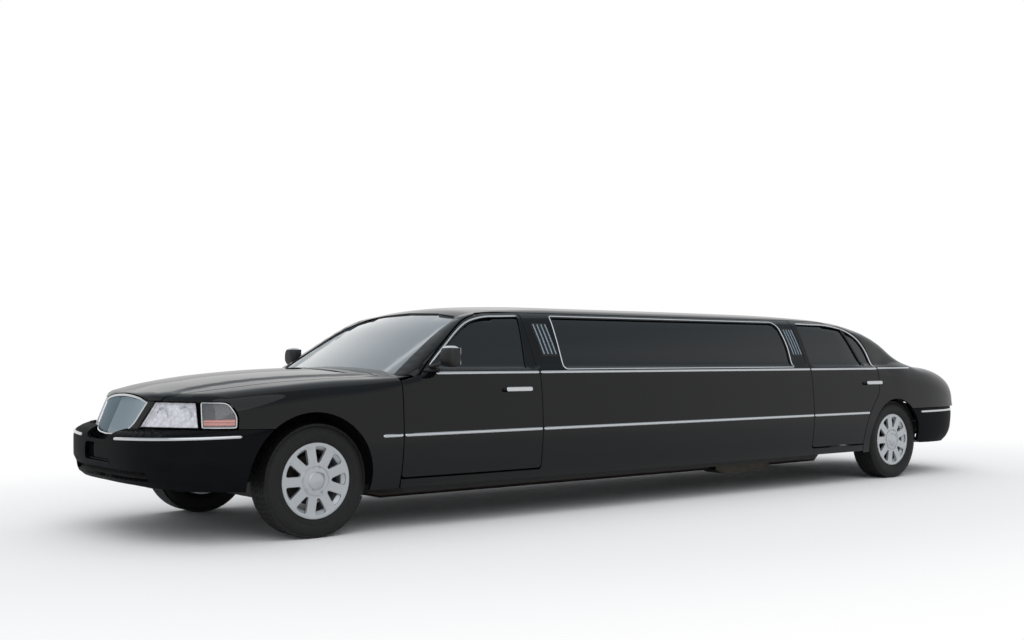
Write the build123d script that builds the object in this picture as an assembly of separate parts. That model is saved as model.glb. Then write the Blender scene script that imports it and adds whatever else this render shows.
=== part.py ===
from build123d import *
import os
from math import cos, radians, sin

# Stretch limousine. Millimetres. +X runs rearwards, +Y to the car's right, +Z up.
# The origin lies on the ground at the middle of the bounding box.

# ------------------------------------------------------------------ driving sizes
BASE_WHEELBASE = 2990
STRETCH = 3048
FRONT_OVERHANG = 1040
REAR_OVERHANG = 1441
HALF_WIDTH = 993
ROOF_HEIGHT = 1499
LOWER_CROWN_AXIS_Z = -6000
UPPER_CROWN_AXIS_Z = -3800
CROWN_ANGLE = 32

BODY_WALL = 50
DOOR_WALL = 90
PILLAR_WALL = 45
GLASS_THICKNESS = 6
GLASS_INSET = 14
SHUT_GAP = 8
RUNNING_GAP = 0.3
CLEARANCE = 6

SILL_Z = 270
DOOR_BOTTOM_Z = 335

TYRE_RADIUS = 351
TYRE_WIDTH = 226
RIM_RADIUS = 222
RIM_BORE_RADIUS = 196
FRONT_TYRE_TUCK = 68
REAR_TYRE_TUCK = 58
KINGPIN_FROM_FACE = 205

DOOR_FRONT_CUT = 590
DOOR_LENGTH = 1165
HINGE_AHEAD = 80
HINGE_DEPTH = 20
HINGE_PIN_RADIUS = 7
HINGE_HEIGHTS = (480, 860)
HINGE_KNUCKLE = 9
HINGE_ARM_HALF_HEIGHT = 24
HINGE_POCKET_HALF_HEIGHT = 34
HINGE_PIN_HALF_HEIGHT = 46

PLATE_BOLT_SPACING_Y = 177.8
PLATE_BOLT_SPACING_Z = 120.65
PLATE_BOLT_RADIUS = 3.2

# ------------------------------------------------------------------ stations
WHEELBASE = BASE_WHEELBASE + STRETCH
LENGTH = FRONT_OVERHANG + WHEELBASE + REAR_OVERHANG
FRONT_AXLE_X = FRONT_OVERHANG - LENGTH / 2
REAR_AXLE_X = FRONT_AXLE_X + WHEELBASE
AXLE_Z = TYRE_RADIUS
FAR = 12000


def front(distance):
    """Row X of a station this far behind the front axle."""
    return FRONT_AXLE_X + distance


def rear(distance):
    """Row X of a station this far behind the rear axle."""
    return REAR_AXLE_X + distance


FRONT_DOOR_START = front(DOOR_FRONT_CUT)
FRONT_DOOR_END = FRONT_DOOR_START + DOOR_LENGTH
REAR_DOOR_START = rear(-1248)
NOSE_X = front(-FRONT_OVERHANG)
TAIL_X = rear(REAR_OVERHANG)

# Plan of the lower body: station, how far the side is tucked in from the widest point.
BODY_PLAN = (
    (front(-985), HALF_WIDTH),
    (front(-975), 693),
    (front(-955), 493),
    (front(-925), 385),
    (front(-860), 260),
    (front(-745), 148),
    (front(-593), 66),
    (front(-400), 30),
    (front(0), 8),
    (front(500), 0),
    (rear(0), 4),
    (rear(450), 24),
    (rear(800), 52),
    (rear(1020), 92),
    (rear(1180), 160),
    (rear(1290), 262),
    (rear(1365), 420),
    (rear(1400), 650),
    (rear(1405), HALF_WIDTH),
)

# Plan of the bumpers, one table each way out from the ends.
FRONT_BUMPER_PLAN = (
    (front(-1040), HALF_WIDTH),
    (front(-1036), 693),
    (front(-1012), 473),
    (front(-960), 313),
    (front(-860), 165),
    (front(-740), 90),
    (front(-600), 45),
    (front(-400), 22),
)
REAR_BUMPER_PLAN = (
    (rear(330), 22),
    (rear(700), 44),
    (rear(1000), 92),
    (rear(1190), 160),
    (rear(1330), 280),
    (rear(1410), 460),
    (rear(1438), 700),
    (rear(1441), HALF_WIDTH),
)

# Section of the lower body: tuck from the widest point, height.
BODY_SECTION = ((58, 270), (38, 330), (13, 450), (0, 610), (5, 760), (23, 930), (38, 1000), (45, 1120))

# Centre line of hood, cowl, deck and tail. The surface falls away to both sides as the crown.
BODY_PROFILE = (
    (front(-968), 200),
    (front(-968), 640),
    (front(-862), 880),
    (front(-780), 898),
    (front(-698), 915),
    (front(-530), 953),
    (front(-228), 995),
    (front(105), 1018),
    (front(520), 1034),
    (rear(402), 1068),
    (rear(762), 1045),
    (rear(1162), 1010),
    (rear(1302), 985),
    (rear(1362), 945),
    (rear(1395), 640),
    (rear(1385), 200),
)

# Wall of doors and side panels: tuck from the widest point, height, wall thickness.
SIDE_WALL = (
    (58, 270, DOOR_WALL),
    (38, 330, DOOR_WALL),
    (13, 450, DOOR_WALL),
    (0, 610, DOOR_WALL),
    (5, 760, DOOR_WALL),
    (23, 930, DOOR_WALL),
    (38, 1000, DOOR_WALL),
    (73, 1035, PILLAR_WALL),
    (255, 1415, PILLAR_WALL),
    (291, 1446, PILLAR_WALL),
)

# Section and plan of the upper body, and its centre line from windshield foot to back glass foot.
UPPER_SECTION = ((38, 900), (38, 1000), (73, 1035), (255, 1415), (340, 1475), (380, 1600))
UPPER_PLAN = (
    (front(300), 33),
    (front(1200), 0),
    (rear(-700), 0),
    (rear(-340), 16),
    (rear(-40), 52),
    (rear(300), 105),
    (rear(560), 150),
)
UPPER_PROFILE = (
    (front(437), 920),
    (front(1270), 1430),
    (front(1400), 1462),
    (front(1700), 1487),
    (front(2200), ROOF_HEIGHT),
    (rear(-1440), 1495),
    (rear(-838), 1478),
    (rear(-575), 1457),
    (rear(-274), 1406),
    (rear(-108), 1363),
    (rear(42), 1310),
    (rear(162), 1235),
    (rear(312), 1120),
    (rear(560), 920),
)

# Side views of the openings: station, height.
FRONT_DOOR_TOP = (
    (FRONT_DOOR_END - SHUT_GAP / 2, 1428),
    (front(1390), 1414),
    (front(1235), 1379),
    (front(1120), 1309),
    (front(1000), 1222),
    (front(850), 1099),
    (front(742), 1000),
    (FRONT_DOOR_START + SHUT_GAP / 2, 985),
)
FRONT_DOOR_WINDOW = (
    (front(815), 1040),
    (front(885), 1090),
    (front(1030), 1198),
    (front(1145), 1278),
    (front(1255), 1345),
    (front(1393), 1378),
    (front(1722), 1388),
    (front(1652), 1040),
)
LONG_WINDOW = (
    (front(2020), 1040),
    (front(2040), 1398),
    (rear(-1500), 1398),
    (rear(-1458), 1352),
    (rear(-1440), 1200),
    (rear(-1472), 1040),
)
REAR_DOOR_TAIL = (
    (rear(-512), DOOR_BOTTOM_Z),
    (rear(-500), 470),
    (rear(-455), 590),
    (rear(-380), 690),
    (rear(-305), 770),
    (rear(-283), 830),
    (rear(-277), 1000),
    (rear(-283), 1175),
    (rear(-336), 1296),
    (rear(-495), 1378),
    (rear(-740), 1414),
)
REAR_DOOR_WINDOW = (
    (rear(-1178), 1040),
    (rear(-1166), 1384),
    (rear(-740), 1378),
    (rear(-530), 1340),
    (rear(-396), 1270),
    (rear(-336), 1165),
    (rear(-322), 1040),
)
FRONT_ARCH_X = front(-52)
FRONT_ARCH_RADIUS = TYRE_RADIUS + 74
REAR_ARCH_X = rear(-50)
REAR_ARCH_Z = AXLE_Z - 16
REAR_ARCH_RADIUS = TYRE_RADIUS + 33

HOOD_REAR_X = front(505)
HOOD_LIP_Z = 845
# Half-width of the hood's shut line by station.
HOOD_PLAN = (
    (front(-1000), HALF_WIDTH - 473),
    (front(-900), HALF_WIDTH - 403),
    (front(-745), HALF_WIDTH - 313),
    (front(-400), HALF_WIDTH - 241),
    (front(0), HALF_WIDTH - 208),
    (HOOD_REAR_X, HALF_WIDTH - 181),
)
LID_FRONT_X = rear(440)
LID_LOW_Z = 642
# Half-width of the trunk lid's shut line by station.
LID_PLAN = (
    (LID_FRONT_X, HALF_WIDTH - 258),
    (rear(900), HALF_WIDTH - 258),
    (rear(1150), HALF_WIDTH - 293),
    (rear(1250), HALF_WIDTH - 343),
    (rear(1500), HALF_WIDTH - 353),
)

LID_REAR_GAP = 28
LID_HINGE_Y = 350
HOOD_HINGE_X = HOOD_REAR_X - 25
HOOD_HINGE_Z = 995
LID_HINGE_X = LID_FRONT_X + 25
LID_HINGE_Z = 1029
LID_ARM_Z = 940
BUMPER_TOP_Z = 684
REAR_BUMPER_TOP_Z = 634
FRONT_BUMPER_X = front(-440)
REAR_BUMPER_X = rear(330)
LAMP_REAR_X = front(-550)
LAMP_INNER_Y = HALF_WIDTH - 493
LAMP_LOW_Z = 692
FRONT_COWL_HALF_WIDTH = HALF_WIDTH - 173
REAR_DECK_HALF_WIDTH = HALF_WIDTH - 208
GRILLE_LOW_HALF = 290
GRILLE_TOP_HALF = 352
GRILLE_TOP_Z = 880
GRILLE_SLOTS = 15
GRILLE_BORDER = 22
MOUTH_HALF = HALF_WIDTH - 473
MOUTH_LOW_Z = 368
MOUTH_TOP_Z = 440
LEDGE_HEIGHT = 24
FRONT_PLATE_Z = 530
PLATE_Z = 800
PLATE_PANEL_HALF = 200
PLATE_PANEL_HALF_HEIGHT = 95
LID_FACE_X = rear(1378)
TAIL_LAMP_X = rear(1060)
TAIL_LAMP_INNER_Y = HALF_WIDTH - 337
TAIL_LAMP_TOP_Z = 900
ROOF_RAIL_Z = 1432

FRONT_RAIL_Y = 420
RAIL_HALF_WIDTH = 35
CABIN_RAIL_Y = HALF_WIDTH - 293
REAR_RAIL_Y = HALF_WIDTH - 463
FRONT_RAIL_LOW_Z = 330
FRONT_RAIL_HIGH_Z = 430
CABIN_RAIL_LOW_Z = 212
CROSS_MEMBER_HIGH_Z = 240
FRAME_FRONT_WELD = front(800)
FRAME_REAR_WELD = rear(-920)
JACK_PAD_FRONT_X = front(1000)
JACK_PAD_REAR_X = rear(-1000)
JACK_PAD_HEIGHT = 6
REAR_KICK_LOW_Z = AXLE_Z + 79
REAR_KICK_HIGH_Z = AXLE_Z + 184
TRUNK_FLOOR_LOW_Z = 480
FLOOR_LOW_Z = 322
FLOOR_HALF_WIDTH = HALF_WIDTH - DOOR_WALL - 48
REAR_FLOOR_HALF = HALF_WIDTH - 353
SHEET = 16
LINER = 8
TUNNEL_HALF = 160
TUNNEL_Z = 468
FIREWALL_X = front(486)
SEAT_WALL_X = rear(-120)
COWL_BOX_HALF = HALF_WIDTH - DOOR_WALL - 95
COWL_SHELF_Z = 900

ENGINE_HALF_WIDTH = 260
ENGINE_LOW_Z = 300
ENGINE_END = front(440)
TRANSMISSION_END = front(1150)
TRANSMISSION_HALF_WIDTH = 140
SHAFT_Z = AXLE_Z - 8
SHAFT_RADIUS = 42
cross_members = (front(1000), front(2600), front(4200))
EXHAUST_Y = REAR_RAIL_Y - 90
EXHAUST_Z = 178
PIPE_RADIUS = 27
TAIL_PIPE_HIGH_Z = AXLE_Z + 89
TAIL_PIPE_LOW_Z = 280
SPINDLE_RADIUS = 28
HUB_INNER = 156
LOWER_JOINT_Z = AXLE_Z - 115
UPPER_JOINT_Z = AXLE_Z + 149
WHEEL_SPOKES = 9

DASH_HALF = HALF_WIDTH - 193
STEERING_X = front(1120)
STEERING_Y = -380
STEERING_Z = 905
STEERING_RADIUS = 178
COLUMN_TILT = 24
COLUMN_RADIUS = 20
FRONT_SEAT_Y = 385
PARTITION_X = FRONT_DOOR_END + 235
MIRROR_INNER = HALF_WIDTH - 28
MIRROR_OUTER = HALF_WIDTH + 152

# Half-width and height of the glass openings seen from the front and from the back.
WINDSHIELD_FRONT_VIEW = ((HALF_WIDTH - 163, 900), (HALF_WIDTH - 163, 985), (HALF_WIDTH - 368, 1404))
BACK_GLASS_REAR_VIEW = ((HALF_WIDTH - 208, 900), (HALF_WIDTH - 208, 1040), (HALF_WIDTH - 353, 1385))


# ------------------------------------------------------------------ makers
def prism(points, travel):
    """Solid swept from a flat polygon along a vector."""
    return Solid.extrude(Face(Wire.make_polygon(points, close=True)), Vector(*travel))


def side_prism(outline, y_low, y_high):
    """Solid between two Y planes with this XZ outline."""
    return prism([(x, y_low, z) for x, z in outline], (0, y_high - y_low, 0))


def plan_prism(outline, z_low, z_high):
    """Solid between two Z planes with this XY outline."""
    return prism([(x, y, z_low) for x, y in outline], (0, 0, z_high - z_low))


def section_prism(outline, x_low, x_high):
    """Solid between two X planes with this YZ outline."""
    return prism([(x_low, y, z) for y, z in outline], (x_high - x_low, 0, 0))


def block(x_low, x_high, y_low, y_high, z_low, z_high):
    """Box between its two corners."""
    corners = ((x_low, z_low), (x_high, z_low), (x_high, z_high), (x_low, z_high))
    return side_prism(corners, y_low, y_high)


def both(outline):
    """Outline of (along, half-width) pairs closed by its mirror image."""
    return [(a, -w) for a, w in outline] + [(a, w) for a, w in reversed(outline)]


def view_ring(outline):
    """Closed YZ outline from (half-width, height) pairs."""
    return [(-w, z) for w, z in outline] + [(w, z) for w, z in reversed(outline)]


def rod(start, end, radius):
    """Round bar between two points."""
    axis = Vector(*end) - Vector(*start)
    return Solid.make_cylinder(radius, axis.length, Plane(origin=start, z_dir=axis))


def tube(start, end, radius, bore):
    """Round bar with a bore."""
    return rod(start, end, radius) - rod(start, end, bore)


def bar_path(points, radius):
    """Bent round bar: rods with balls at the bends."""
    solid = rod(points[0], points[1], radius)
    for first, second in zip(points[1:], points[2:]):
        solid = solid + Pos(*first) * Sphere(radius) + rod(first, second, radius)
    return solid


def mirrored(shape):
    """The same piece on the other side of the car."""
    return shape.mirror(Plane.XZ)


def crowned(profile, axis_z):
    """Solid whose top follows a centre line and falls away to both sides."""
    outline = [(x, 0, z) for x, z in profile]
    face = Face(Wire.make_polygon(outline, close=True))
    axis = Axis((0, 0, axis_z), (1, 0, 0))
    return revolve(face.rotate(axis, -CROWN_ANGLE / 2), axis, CROWN_ANGLE)


def lower_block(inset, open_floor):
    """Lower body, shrunk by an inset; an open floor drops the bottom away."""
    plan = [(x, max(HALF_WIDTH - tuck - inset, 1)) for x, tuck in BODY_PLAN]
    section = [(HALF_WIDTH - tuck - inset, z) for tuck, z in BODY_SECTION]
    if open_floor:
        section = [(section[0][0], 0)] + section
    middle = (BODY_PROFILE[0][0] + BODY_PROFILE[-1][0]) / 2
    profile = [(x + inset if x < middle else x - inset, z - inset) for x, z in BODY_PROFILE]
    ring = [(-w, z) for w, z in section] + [(w, z) for w, z in reversed(section)]
    return (
        crowned([(profile[0][0], -400)] + profile[1:-1] + [(profile[-1][0], -400)], LOWER_CROWN_AXIS_Z)
        & plan_prism(both(plan), -50, 1300)
        & section_prism(ring, front(-1100), rear(1500))
    )


def upper_block(inset):
    """Upper body, shrunk by an inset and open at its foot."""
    foot = 900 if inset == 0 else 800
    plan = [(x, HALF_WIDTH - tuck - inset) for x, tuck in UPPER_PLAN]
    section = [(HALF_WIDTH - UPPER_SECTION[0][0] - inset, foot)]
    section += [(HALF_WIDTH - tuck - inset, z) for tuck, z in UPPER_SECTION[1:]]
    ring = [(-w, z) for w, z in section] + [(w, z) for w, z in reversed(section)]
    middle = front(2200)
    drop = inset * 1.9
    profile = [(x + drop if x < middle else x - drop, z) for x, z in UPPER_PROFILE]
    profile = [(x, z - inset) if z > 1425 else (x, z) for x, z in profile]
    closed = [(profile[0][0] - 200, -400)] + profile + [(profile[-1][0] + 200, -400)]
    return (
        crowned(closed, UPPER_CROWN_AXIS_Z)
        & plan_prism(both(plan), 700, 1600)
        & section_prism(ring, front(200), rear(700))
    )


def wall_layer(depth, thickness, x_low, x_high):
    """Left side wall between two depths under the outer surface; thickness None means the whole wall."""
    outer = []
    inner = []
    for tuck, z, wall in SIDE_WALL:
        inner_depth = wall if thickness is None else depth + thickness
        outer.append((-(HALF_WIDTH - tuck - depth), z))
        inner.append((-(HALF_WIDTH - tuck - inner_depth), z))
    return section_prism(outer + inner[::-1], x_low, x_high)


def view_cut(outline):
    """Left-hand cutter for a side-view outline."""
    return side_prism(outline, -HALF_WIDTH - 50, -HALF_WIDTH + 420)


def arch_cut(x, z, radius):
    """Cutter for a wheel opening through both sides."""
    return rod((x, -FAR / 8, z), (x, FAR / 8, z), radius)


# ------------------------------------------------------------------ shells shared by several panels
lower_shell = lower_block(0, False) - lower_block(BODY_WALL, True)
upper_shell = upper_block(0) - upper_block(PILLAR_WALL)


# ------------------------------------------------------------------ doors and side panels
def hinge_pin(x, z):
    """Left door hinge pin on the pillar."""
    y = -(HALF_WIDTH - HINGE_DEPTH)
    return rod((x, y, z - HINGE_PIN_HALF_HEIGHT), (x, y, z + HINGE_PIN_HALF_HEIGHT), HINGE_PIN_RADIUS)


def hinge_pocket(x, z):
    """Room in the pillar for the door's hinge arm."""
    y = -(HALF_WIDTH - HINGE_DEPTH)
    low, high = z - HINGE_POCKET_HALF_HEIGHT, z + HINGE_POCKET_HALF_HEIGHT
    return block(x - 2 * HINGE_KNUCKLE, x + HINGE_AHEAD, y - HINGE_DEPTH, y + DOOR_WALL, low, high)


def hinge_arm(x, z):
    """Gooseneck arm from the door's leading face round to the pin."""
    y = -(HALF_WIDTH - HINGE_DEPTH)
    root = HINGE_AHEAD + SHUT_GAP / 2
    outline = (
        (-HINGE_KNUCKLE, -4),
        (-4, -HINGE_KNUCKLE),
        (4, -HINGE_KNUCKLE),
        (HINGE_KNUCKLE, -4),
        (24, 46),
        (root, 46),
        (root, 60),
        (10, 60),
        (-HINGE_KNUCKLE, 9),
    )
    low, high = z - HINGE_ARM_HALF_HEIGHT, z + HINGE_ARM_HALF_HEIGHT
    arm = plan_prism([(x + a, y + b) for a, b in outline], low, high)
    bore = rod((x, y, low - 10), (x, y, high + 10), HINGE_PIN_RADIUS + RUNNING_GAP)
    return arm - bore


def door(outline, window, start):
    """Left door: wall inside its outline, with the window cut and two hinge arms."""
    whole = wall_layer(0, None, start - 10, start + DOOR_LENGTH + 200) & view_cut(outline)
    inset_edge = [(x - 22 if x > start + DOOR_LENGTH * 0.45 else x, z) for x, z in outline]
    skin = wall_layer(-5, 17, start - 20, start + DOOR_LENGTH + 220)
    leaf = (whole & skin) + ((whole - skin) & view_cut(inset_edge))
    leaf = leaf - view_cut(window)
    for z in HINGE_HEIGHTS:
        leaf = leaf + hinge_arm(start + SHUT_GAP / 2 - HINGE_AHEAD, z)
    return leaf


def pane(window):
    """Glass that fills a side window."""
    layer = wall_layer(GLASS_INSET, GLASS_THICKNESS, front(0), rear(200))
    return layer & view_cut(window)


front_door_outline = [
    (FRONT_DOOR_START + SHUT_GAP / 2, DOOR_BOTTOM_Z),
    (FRONT_DOOR_END - SHUT_GAP / 2, DOOR_BOTTOM_Z),
] + list(FRONT_DOOR_TOP)
rear_door_outline = [(REAR_DOOR_START + SHUT_GAP / 2, DOOR_BOTTOM_Z)] + list(REAR_DOOR_TAIL)
rear_door_outline += [(REAR_DOOR_START + SHUT_GAP / 2, 1428)]
front_door_left = door(front_door_outline, FRONT_DOOR_WINDOW, FRONT_DOOR_START)
rear_door_left = door(rear_door_outline, REAR_DOOR_WINDOW, REAR_DOOR_START)


def grown(outline, gap, middle_x, middle_z):
    """Outline pushed outwards from its middle by a gap in X and in Z."""
    return [(x + (gap if x > middle_x else -gap), z + (gap if z > middle_z else -gap)) for x, z in outline]


front_door_hole = view_cut(grown(front_door_outline, SHUT_GAP, front(1150), 850))
rear_door_hole = view_cut(grown(rear_door_outline, SHUT_GAP, rear(-850), 850))


def door_room(hole):
    """The part of a door's opening that its wall fills, with clearance behind it."""
    outer = [(-HALF_WIDTH - 50, z) for tuck, z, wall in SIDE_WALL]
    inner = [(-(HALF_WIDTH - tuck - wall - CLEARANCE), z) for tuck, z, wall in SIDE_WALL]
    return hole & section_prism(outer + inner[::-1], front(0), rear(700))


def stretch_panel():
    """Left side of the added section, sill to roof rail, with hinge pockets and pins for the rear door."""
    start = FRONT_DOOR_START - 20
    end = rear(-277)
    wall = wall_layer(0, None, start, end) & block(start, end, -FAR, 0, SILL_Z, ROOF_RAIL_Z)
    panel = wall - front_door_hole - rear_door_hole - view_cut(LONG_WINDOW)
    keep = block(front(586), rear(-512 + SHUT_GAP), -FAR, 0, 0, FAR / 8)
    panel = panel & keep
    panel = panel - block(front(0), FRONT_DOOR_END - 60, -FAR, 0, DOOR_BOTTOM_Z - 1, FAR / 8)
    panel = panel - block(REAR_DOOR_START + 60, rear(200), -FAR, 0, DOOR_BOTTOM_Z - 1, FAR / 8)
    hinge_x = REAR_DOOR_START + SHUT_GAP / 2 - HINGE_AHEAD
    for z in HINGE_HEIGHTS:
        panel = panel - hinge_pocket(hinge_x, z) + hinge_pin(hinge_x, z)
    return panel


stretch_left = stretch_panel()


# ------------------------------------------------------------------ front end
def fender():
    """Left front fender with the hinge pillar of the front door."""
    under_hood = plan_prism(both([(x, w + SHUT_GAP / 2) for x, w in HOOD_PLAN]), HOOD_LIP_Z - 60, 1100)
    skin = lower_shell & block(front(-930), front(586), -FAR, 0, SILL_Z, 1100)
    skin = skin - under_hood
    skin = skin - block(front(-1100), FRONT_BUMPER_X, -FAR, FAR, 0, BUMPER_TOP_Z)
    skin = skin - block(front(-1100), LAMP_REAR_X, -FAR, FAR, 0, HOOD_LIP_Z)
    skin = skin - block(HOOD_REAR_X - 20, front(700), -FRONT_COWL_HALF_WIDTH, 0, 0, 1100)
    pillar = wall_layer(0, None, front(430), front(586))
    pillar = pillar & block(front(430), front(586), -FAR, 0, SILL_Z, 985)
    piece = skin + (pillar & lower_block(0, False)) - arch_cut(FRONT_ARCH_X, AXLE_Z, FRONT_ARCH_RADIUS)
    hinge_x = FRONT_DOOR_START + SHUT_GAP / 2 - HINGE_AHEAD
    for z in HINGE_HEIGHTS:
        piece = piece - hinge_pocket(hinge_x, z) + hinge_pin(hinge_x, z)
    return piece


fender_left = fender()


def hood():
    """Hood with two hinge lugs in pockets at its rear edge."""
    outline = plan_prism(both([(x, w - SHUT_GAP / 2) for x, w in HOOD_PLAN]), HOOD_LIP_Z, 1100)
    lip_half = GRILLE_TOP_HALF + 15
    grille_way = block(front(-1100), front(-700), -lip_half, lip_half, 0, GRILLE_TOP_Z + SHUT_GAP)
    panel = (lower_shell & outline) - grille_way
    return lid_hinges(panel, HOOD_HINGE_X, HOOD_HINGE_Z, 1)


def lid_hinges(panel, x, z, toward_rear):
    """Pockets and bored lugs for a lid hinged about a crosswise axis."""
    reach = 60 * toward_rear
    x_low, x_high = sorted((x - reach / 2, x + reach))
    for y in (-LID_HINGE_Y, LID_HINGE_Y):
        panel = panel - block(x_low, x_high, y - 44, y + 44, z - 90, z + 16)
        lug_low, lug_high = sorted((x - reach / 2, x + 12 * toward_rear))
        lug = block(lug_low, lug_high, y - 10, y + 10, z - 12, z + 14)
        panel = panel + lug
        panel = panel - rod((x, y - 50, z), (x, y + 50, z), HINGE_PIN_RADIUS + RUNNING_GAP)
    return panel


def lid_bracket(x, z, foot_x, foot_z):
    """Ears and pins that carry a lid, standing on a foot."""
    x_low, x_high = sorted((foot_x, x))
    solids = []
    for y in (-LID_HINGE_Y, LID_HINGE_Y):
        piece = rod((x, y - 32, z), (x, y + 32, z), HINGE_PIN_RADIUS)
        for ear_y in (y - 32, y + 20):
            piece = piece + block(x_low - 9, x_high + 9, ear_y, ear_y + 12, foot_z, z)
            piece = piece + rod((x, ear_y, z), (x, ear_y + 12, z), 9)
        solids.append(piece)
    return solids


def grille_room():
    """Everything behind the grille's frame lines, seen from the front."""
    outline = [(-GRILLE_LOW_HALF, BUMPER_TOP_Z), (-GRILLE_TOP_HALF, GRILLE_TOP_Z)]
    outline += [(-y, z) for y, z in reversed(outline)]
    return section_prism(outline, front(-1100), front(-800))


def grille():
    """Upright grille: the body's front face between its frame lines, opened by slots."""
    panel = lower_shell & grille_room()
    slot_low, slot_high = BUMPER_TOP_Z + GRILLE_BORDER, GRILLE_TOP_Z - GRILLE_BORDER
    pitch = 2 * (GRILLE_LOW_HALF - GRILLE_BORDER) / GRILLE_SLOTS
    half = 0.3 * pitch
    for number in range(GRILLE_SLOTS):
        y = -GRILLE_LOW_HALF + GRILLE_BORDER + pitch * (number + 0.5)
        panel = panel - block(front(-1100), front(-700), y - half, y + half, slot_low, slot_high)
    return panel


def bumper_block(plan, face, section, inset):
    """Solid of a bumper: plan, end face seen from the side, and section."""
    outline = [(x, max(HALF_WIDTH - tuck - inset, 1)) for x, tuck in plan]
    ring = [(-(HALF_WIDTH - tuck - inset), z) for tuck, z in section]
    ring += [(-y, z) for y, z in reversed(ring)]
    low, high = min(x for x, z in face), max(x for x, z in face)
    return (
        plan_prism(both(outline), 0, 1100)
        & side_prism(face, -FAR / 8, FAR / 8)
        & section_prism(ring, low - 10, high + 10)
    )


def front_bumper():
    """Front bumper cover with its mouth, the fascia beside the grille and the plate holes."""
    face = [
        (FRONT_BUMPER_X, 330),
        (front(-960), 345),
        (front(-1025), 385),
        (NOSE_X, 445),
        (NOSE_X, 612),
        (front(-1018), 655),
        (front(-985), BUMPER_TOP_Z),
        (FRONT_BUMPER_X, BUMPER_TOP_Z),
    ]
    inner_face = [(x + BODY_WALL if x < front(-500) else x + 30, z) for x, z in face]
    inner_face[0] = (inner_face[0][0], 0)
    inner_face[1] = (inner_face[1][0], 0)
    section = ((40, 300), (12, 430), (0, 560), (0, 640), (10, BUMPER_TOP_Z))
    outer = bumper_block(FRONT_BUMPER_PLAN, face, section, 0)
    inner_section = ((40, 0), (12, 430), (0, 560), (0, 640), (10, BUMPER_TOP_Z))
    inner_plan = [(x + BODY_WALL, tuck) for x, tuck in FRONT_BUMPER_PLAN]
    inner = bumper_block(inner_plan, inner_face, inner_section, BODY_WALL)
    mouth = block(front(-1100), front(-850), -MOUTH_HALF, MOUTH_HALF, MOUTH_LOW_Z, MOUTH_TOP_Z)
    cover = outer - inner - mouth - arch_cut(FRONT_ARCH_X, AXLE_Z, FRONT_ARCH_RADIUS)
    ledge_plan = both([(front(-985), 300), (front(-940), 560), (front(-850), 700)])
    ledge = plan_prism(ledge_plan, BUMPER_TOP_Z - LEDGE_HEIGHT, BUMPER_TOP_Z) & outer
    fascia_top_z = HOOD_LIP_Z - SHUT_GAP
    fascia = block(front(-1100), front(-840), -LAMP_INNER_Y, LAMP_INNER_Y, BUMPER_TOP_Z, fascia_top_z)
    fascia = (lower_shell & fascia) - grille_room()
    cover = cover + ledge + fascia
    for hole in plate_holes(front(-1100), front(-900), FRONT_PLATE_Z):
        cover = cover - hole
    return cover


def plate_holes(x_low, x_high, middle_z):
    """Cutters for a number plate's four screws."""
    return [
        rod((x_low, y, z), (x_high, y, z), PLATE_BOLT_RADIUS)
        for y in (-PLATE_BOLT_SPACING_Y / 2, PLATE_BOLT_SPACING_Y / 2)
        for z in (middle_z - PLATE_BOLT_SPACING_Z / 2, middle_z + PLATE_BOLT_SPACING_Z / 2)
    ]


def rear_bumper():
    """Rear bumper cover."""
    face = [
        (REAR_BUMPER_X, 300),
        (rear(1290), 300),
        (rear(1405), 345),
        (TAIL_X, 430),
        (TAIL_X, 575),
        (rear(1420), REAR_BUMPER_TOP_Z),
        (REAR_BUMPER_X, REAR_BUMPER_TOP_Z),
    ]
    inner_face = [(x - BODY_WALL if x > rear(500) else x - 30, z) for x, z in face]
    inner_face[0] = (inner_face[0][0], 0)
    inner_face[1] = (inner_face[1][0], 0)
    section = ((58, 270), (20, 420), (0, 560), (6, REAR_BUMPER_TOP_Z))
    outer = bumper_block(REAR_BUMPER_PLAN, face, section, 0)
    inner_section = ((58, 0), (20, 420), (0, 560), (6, REAR_BUMPER_TOP_Z))
    inner_plan = [(x - BODY_WALL, tuck) for x, tuck in REAR_BUMPER_PLAN]
    inner = bumper_block(inner_plan, inner_face, inner_section, BODY_WALL)
    cover = outer - inner - arch_cut(REAR_ARCH_X, REAR_ARCH_Z, REAR_ARCH_RADIUS) - rear_tyre_room()
    ledge = outer & block(rear(1316), rear(1430), -640, 640, REAR_BUMPER_TOP_Z - 40, REAR_BUMPER_TOP_Z)
    return cover + ledge


def rear_tyre_room():
    """Space that the rear tyres need inside the body sides."""
    reach = HALF_WIDTH - REAR_TYRE_TUCK + CLEARANCE
    return rod((rear(0), -reach, AXLE_Z), (rear(0), reach, AXLE_Z), TYRE_RADIUS + 2 * CLEARANCE)


bumper_rear = rear_bumper()


def lamp(x_low, x_high, y_inner, z_low, z_high):
    """Left lamp: the body's corner between its shut lines."""
    return lower_shell & block(x_low, x_high, -FAR / 8, -y_inner, z_low, z_high)


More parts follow.
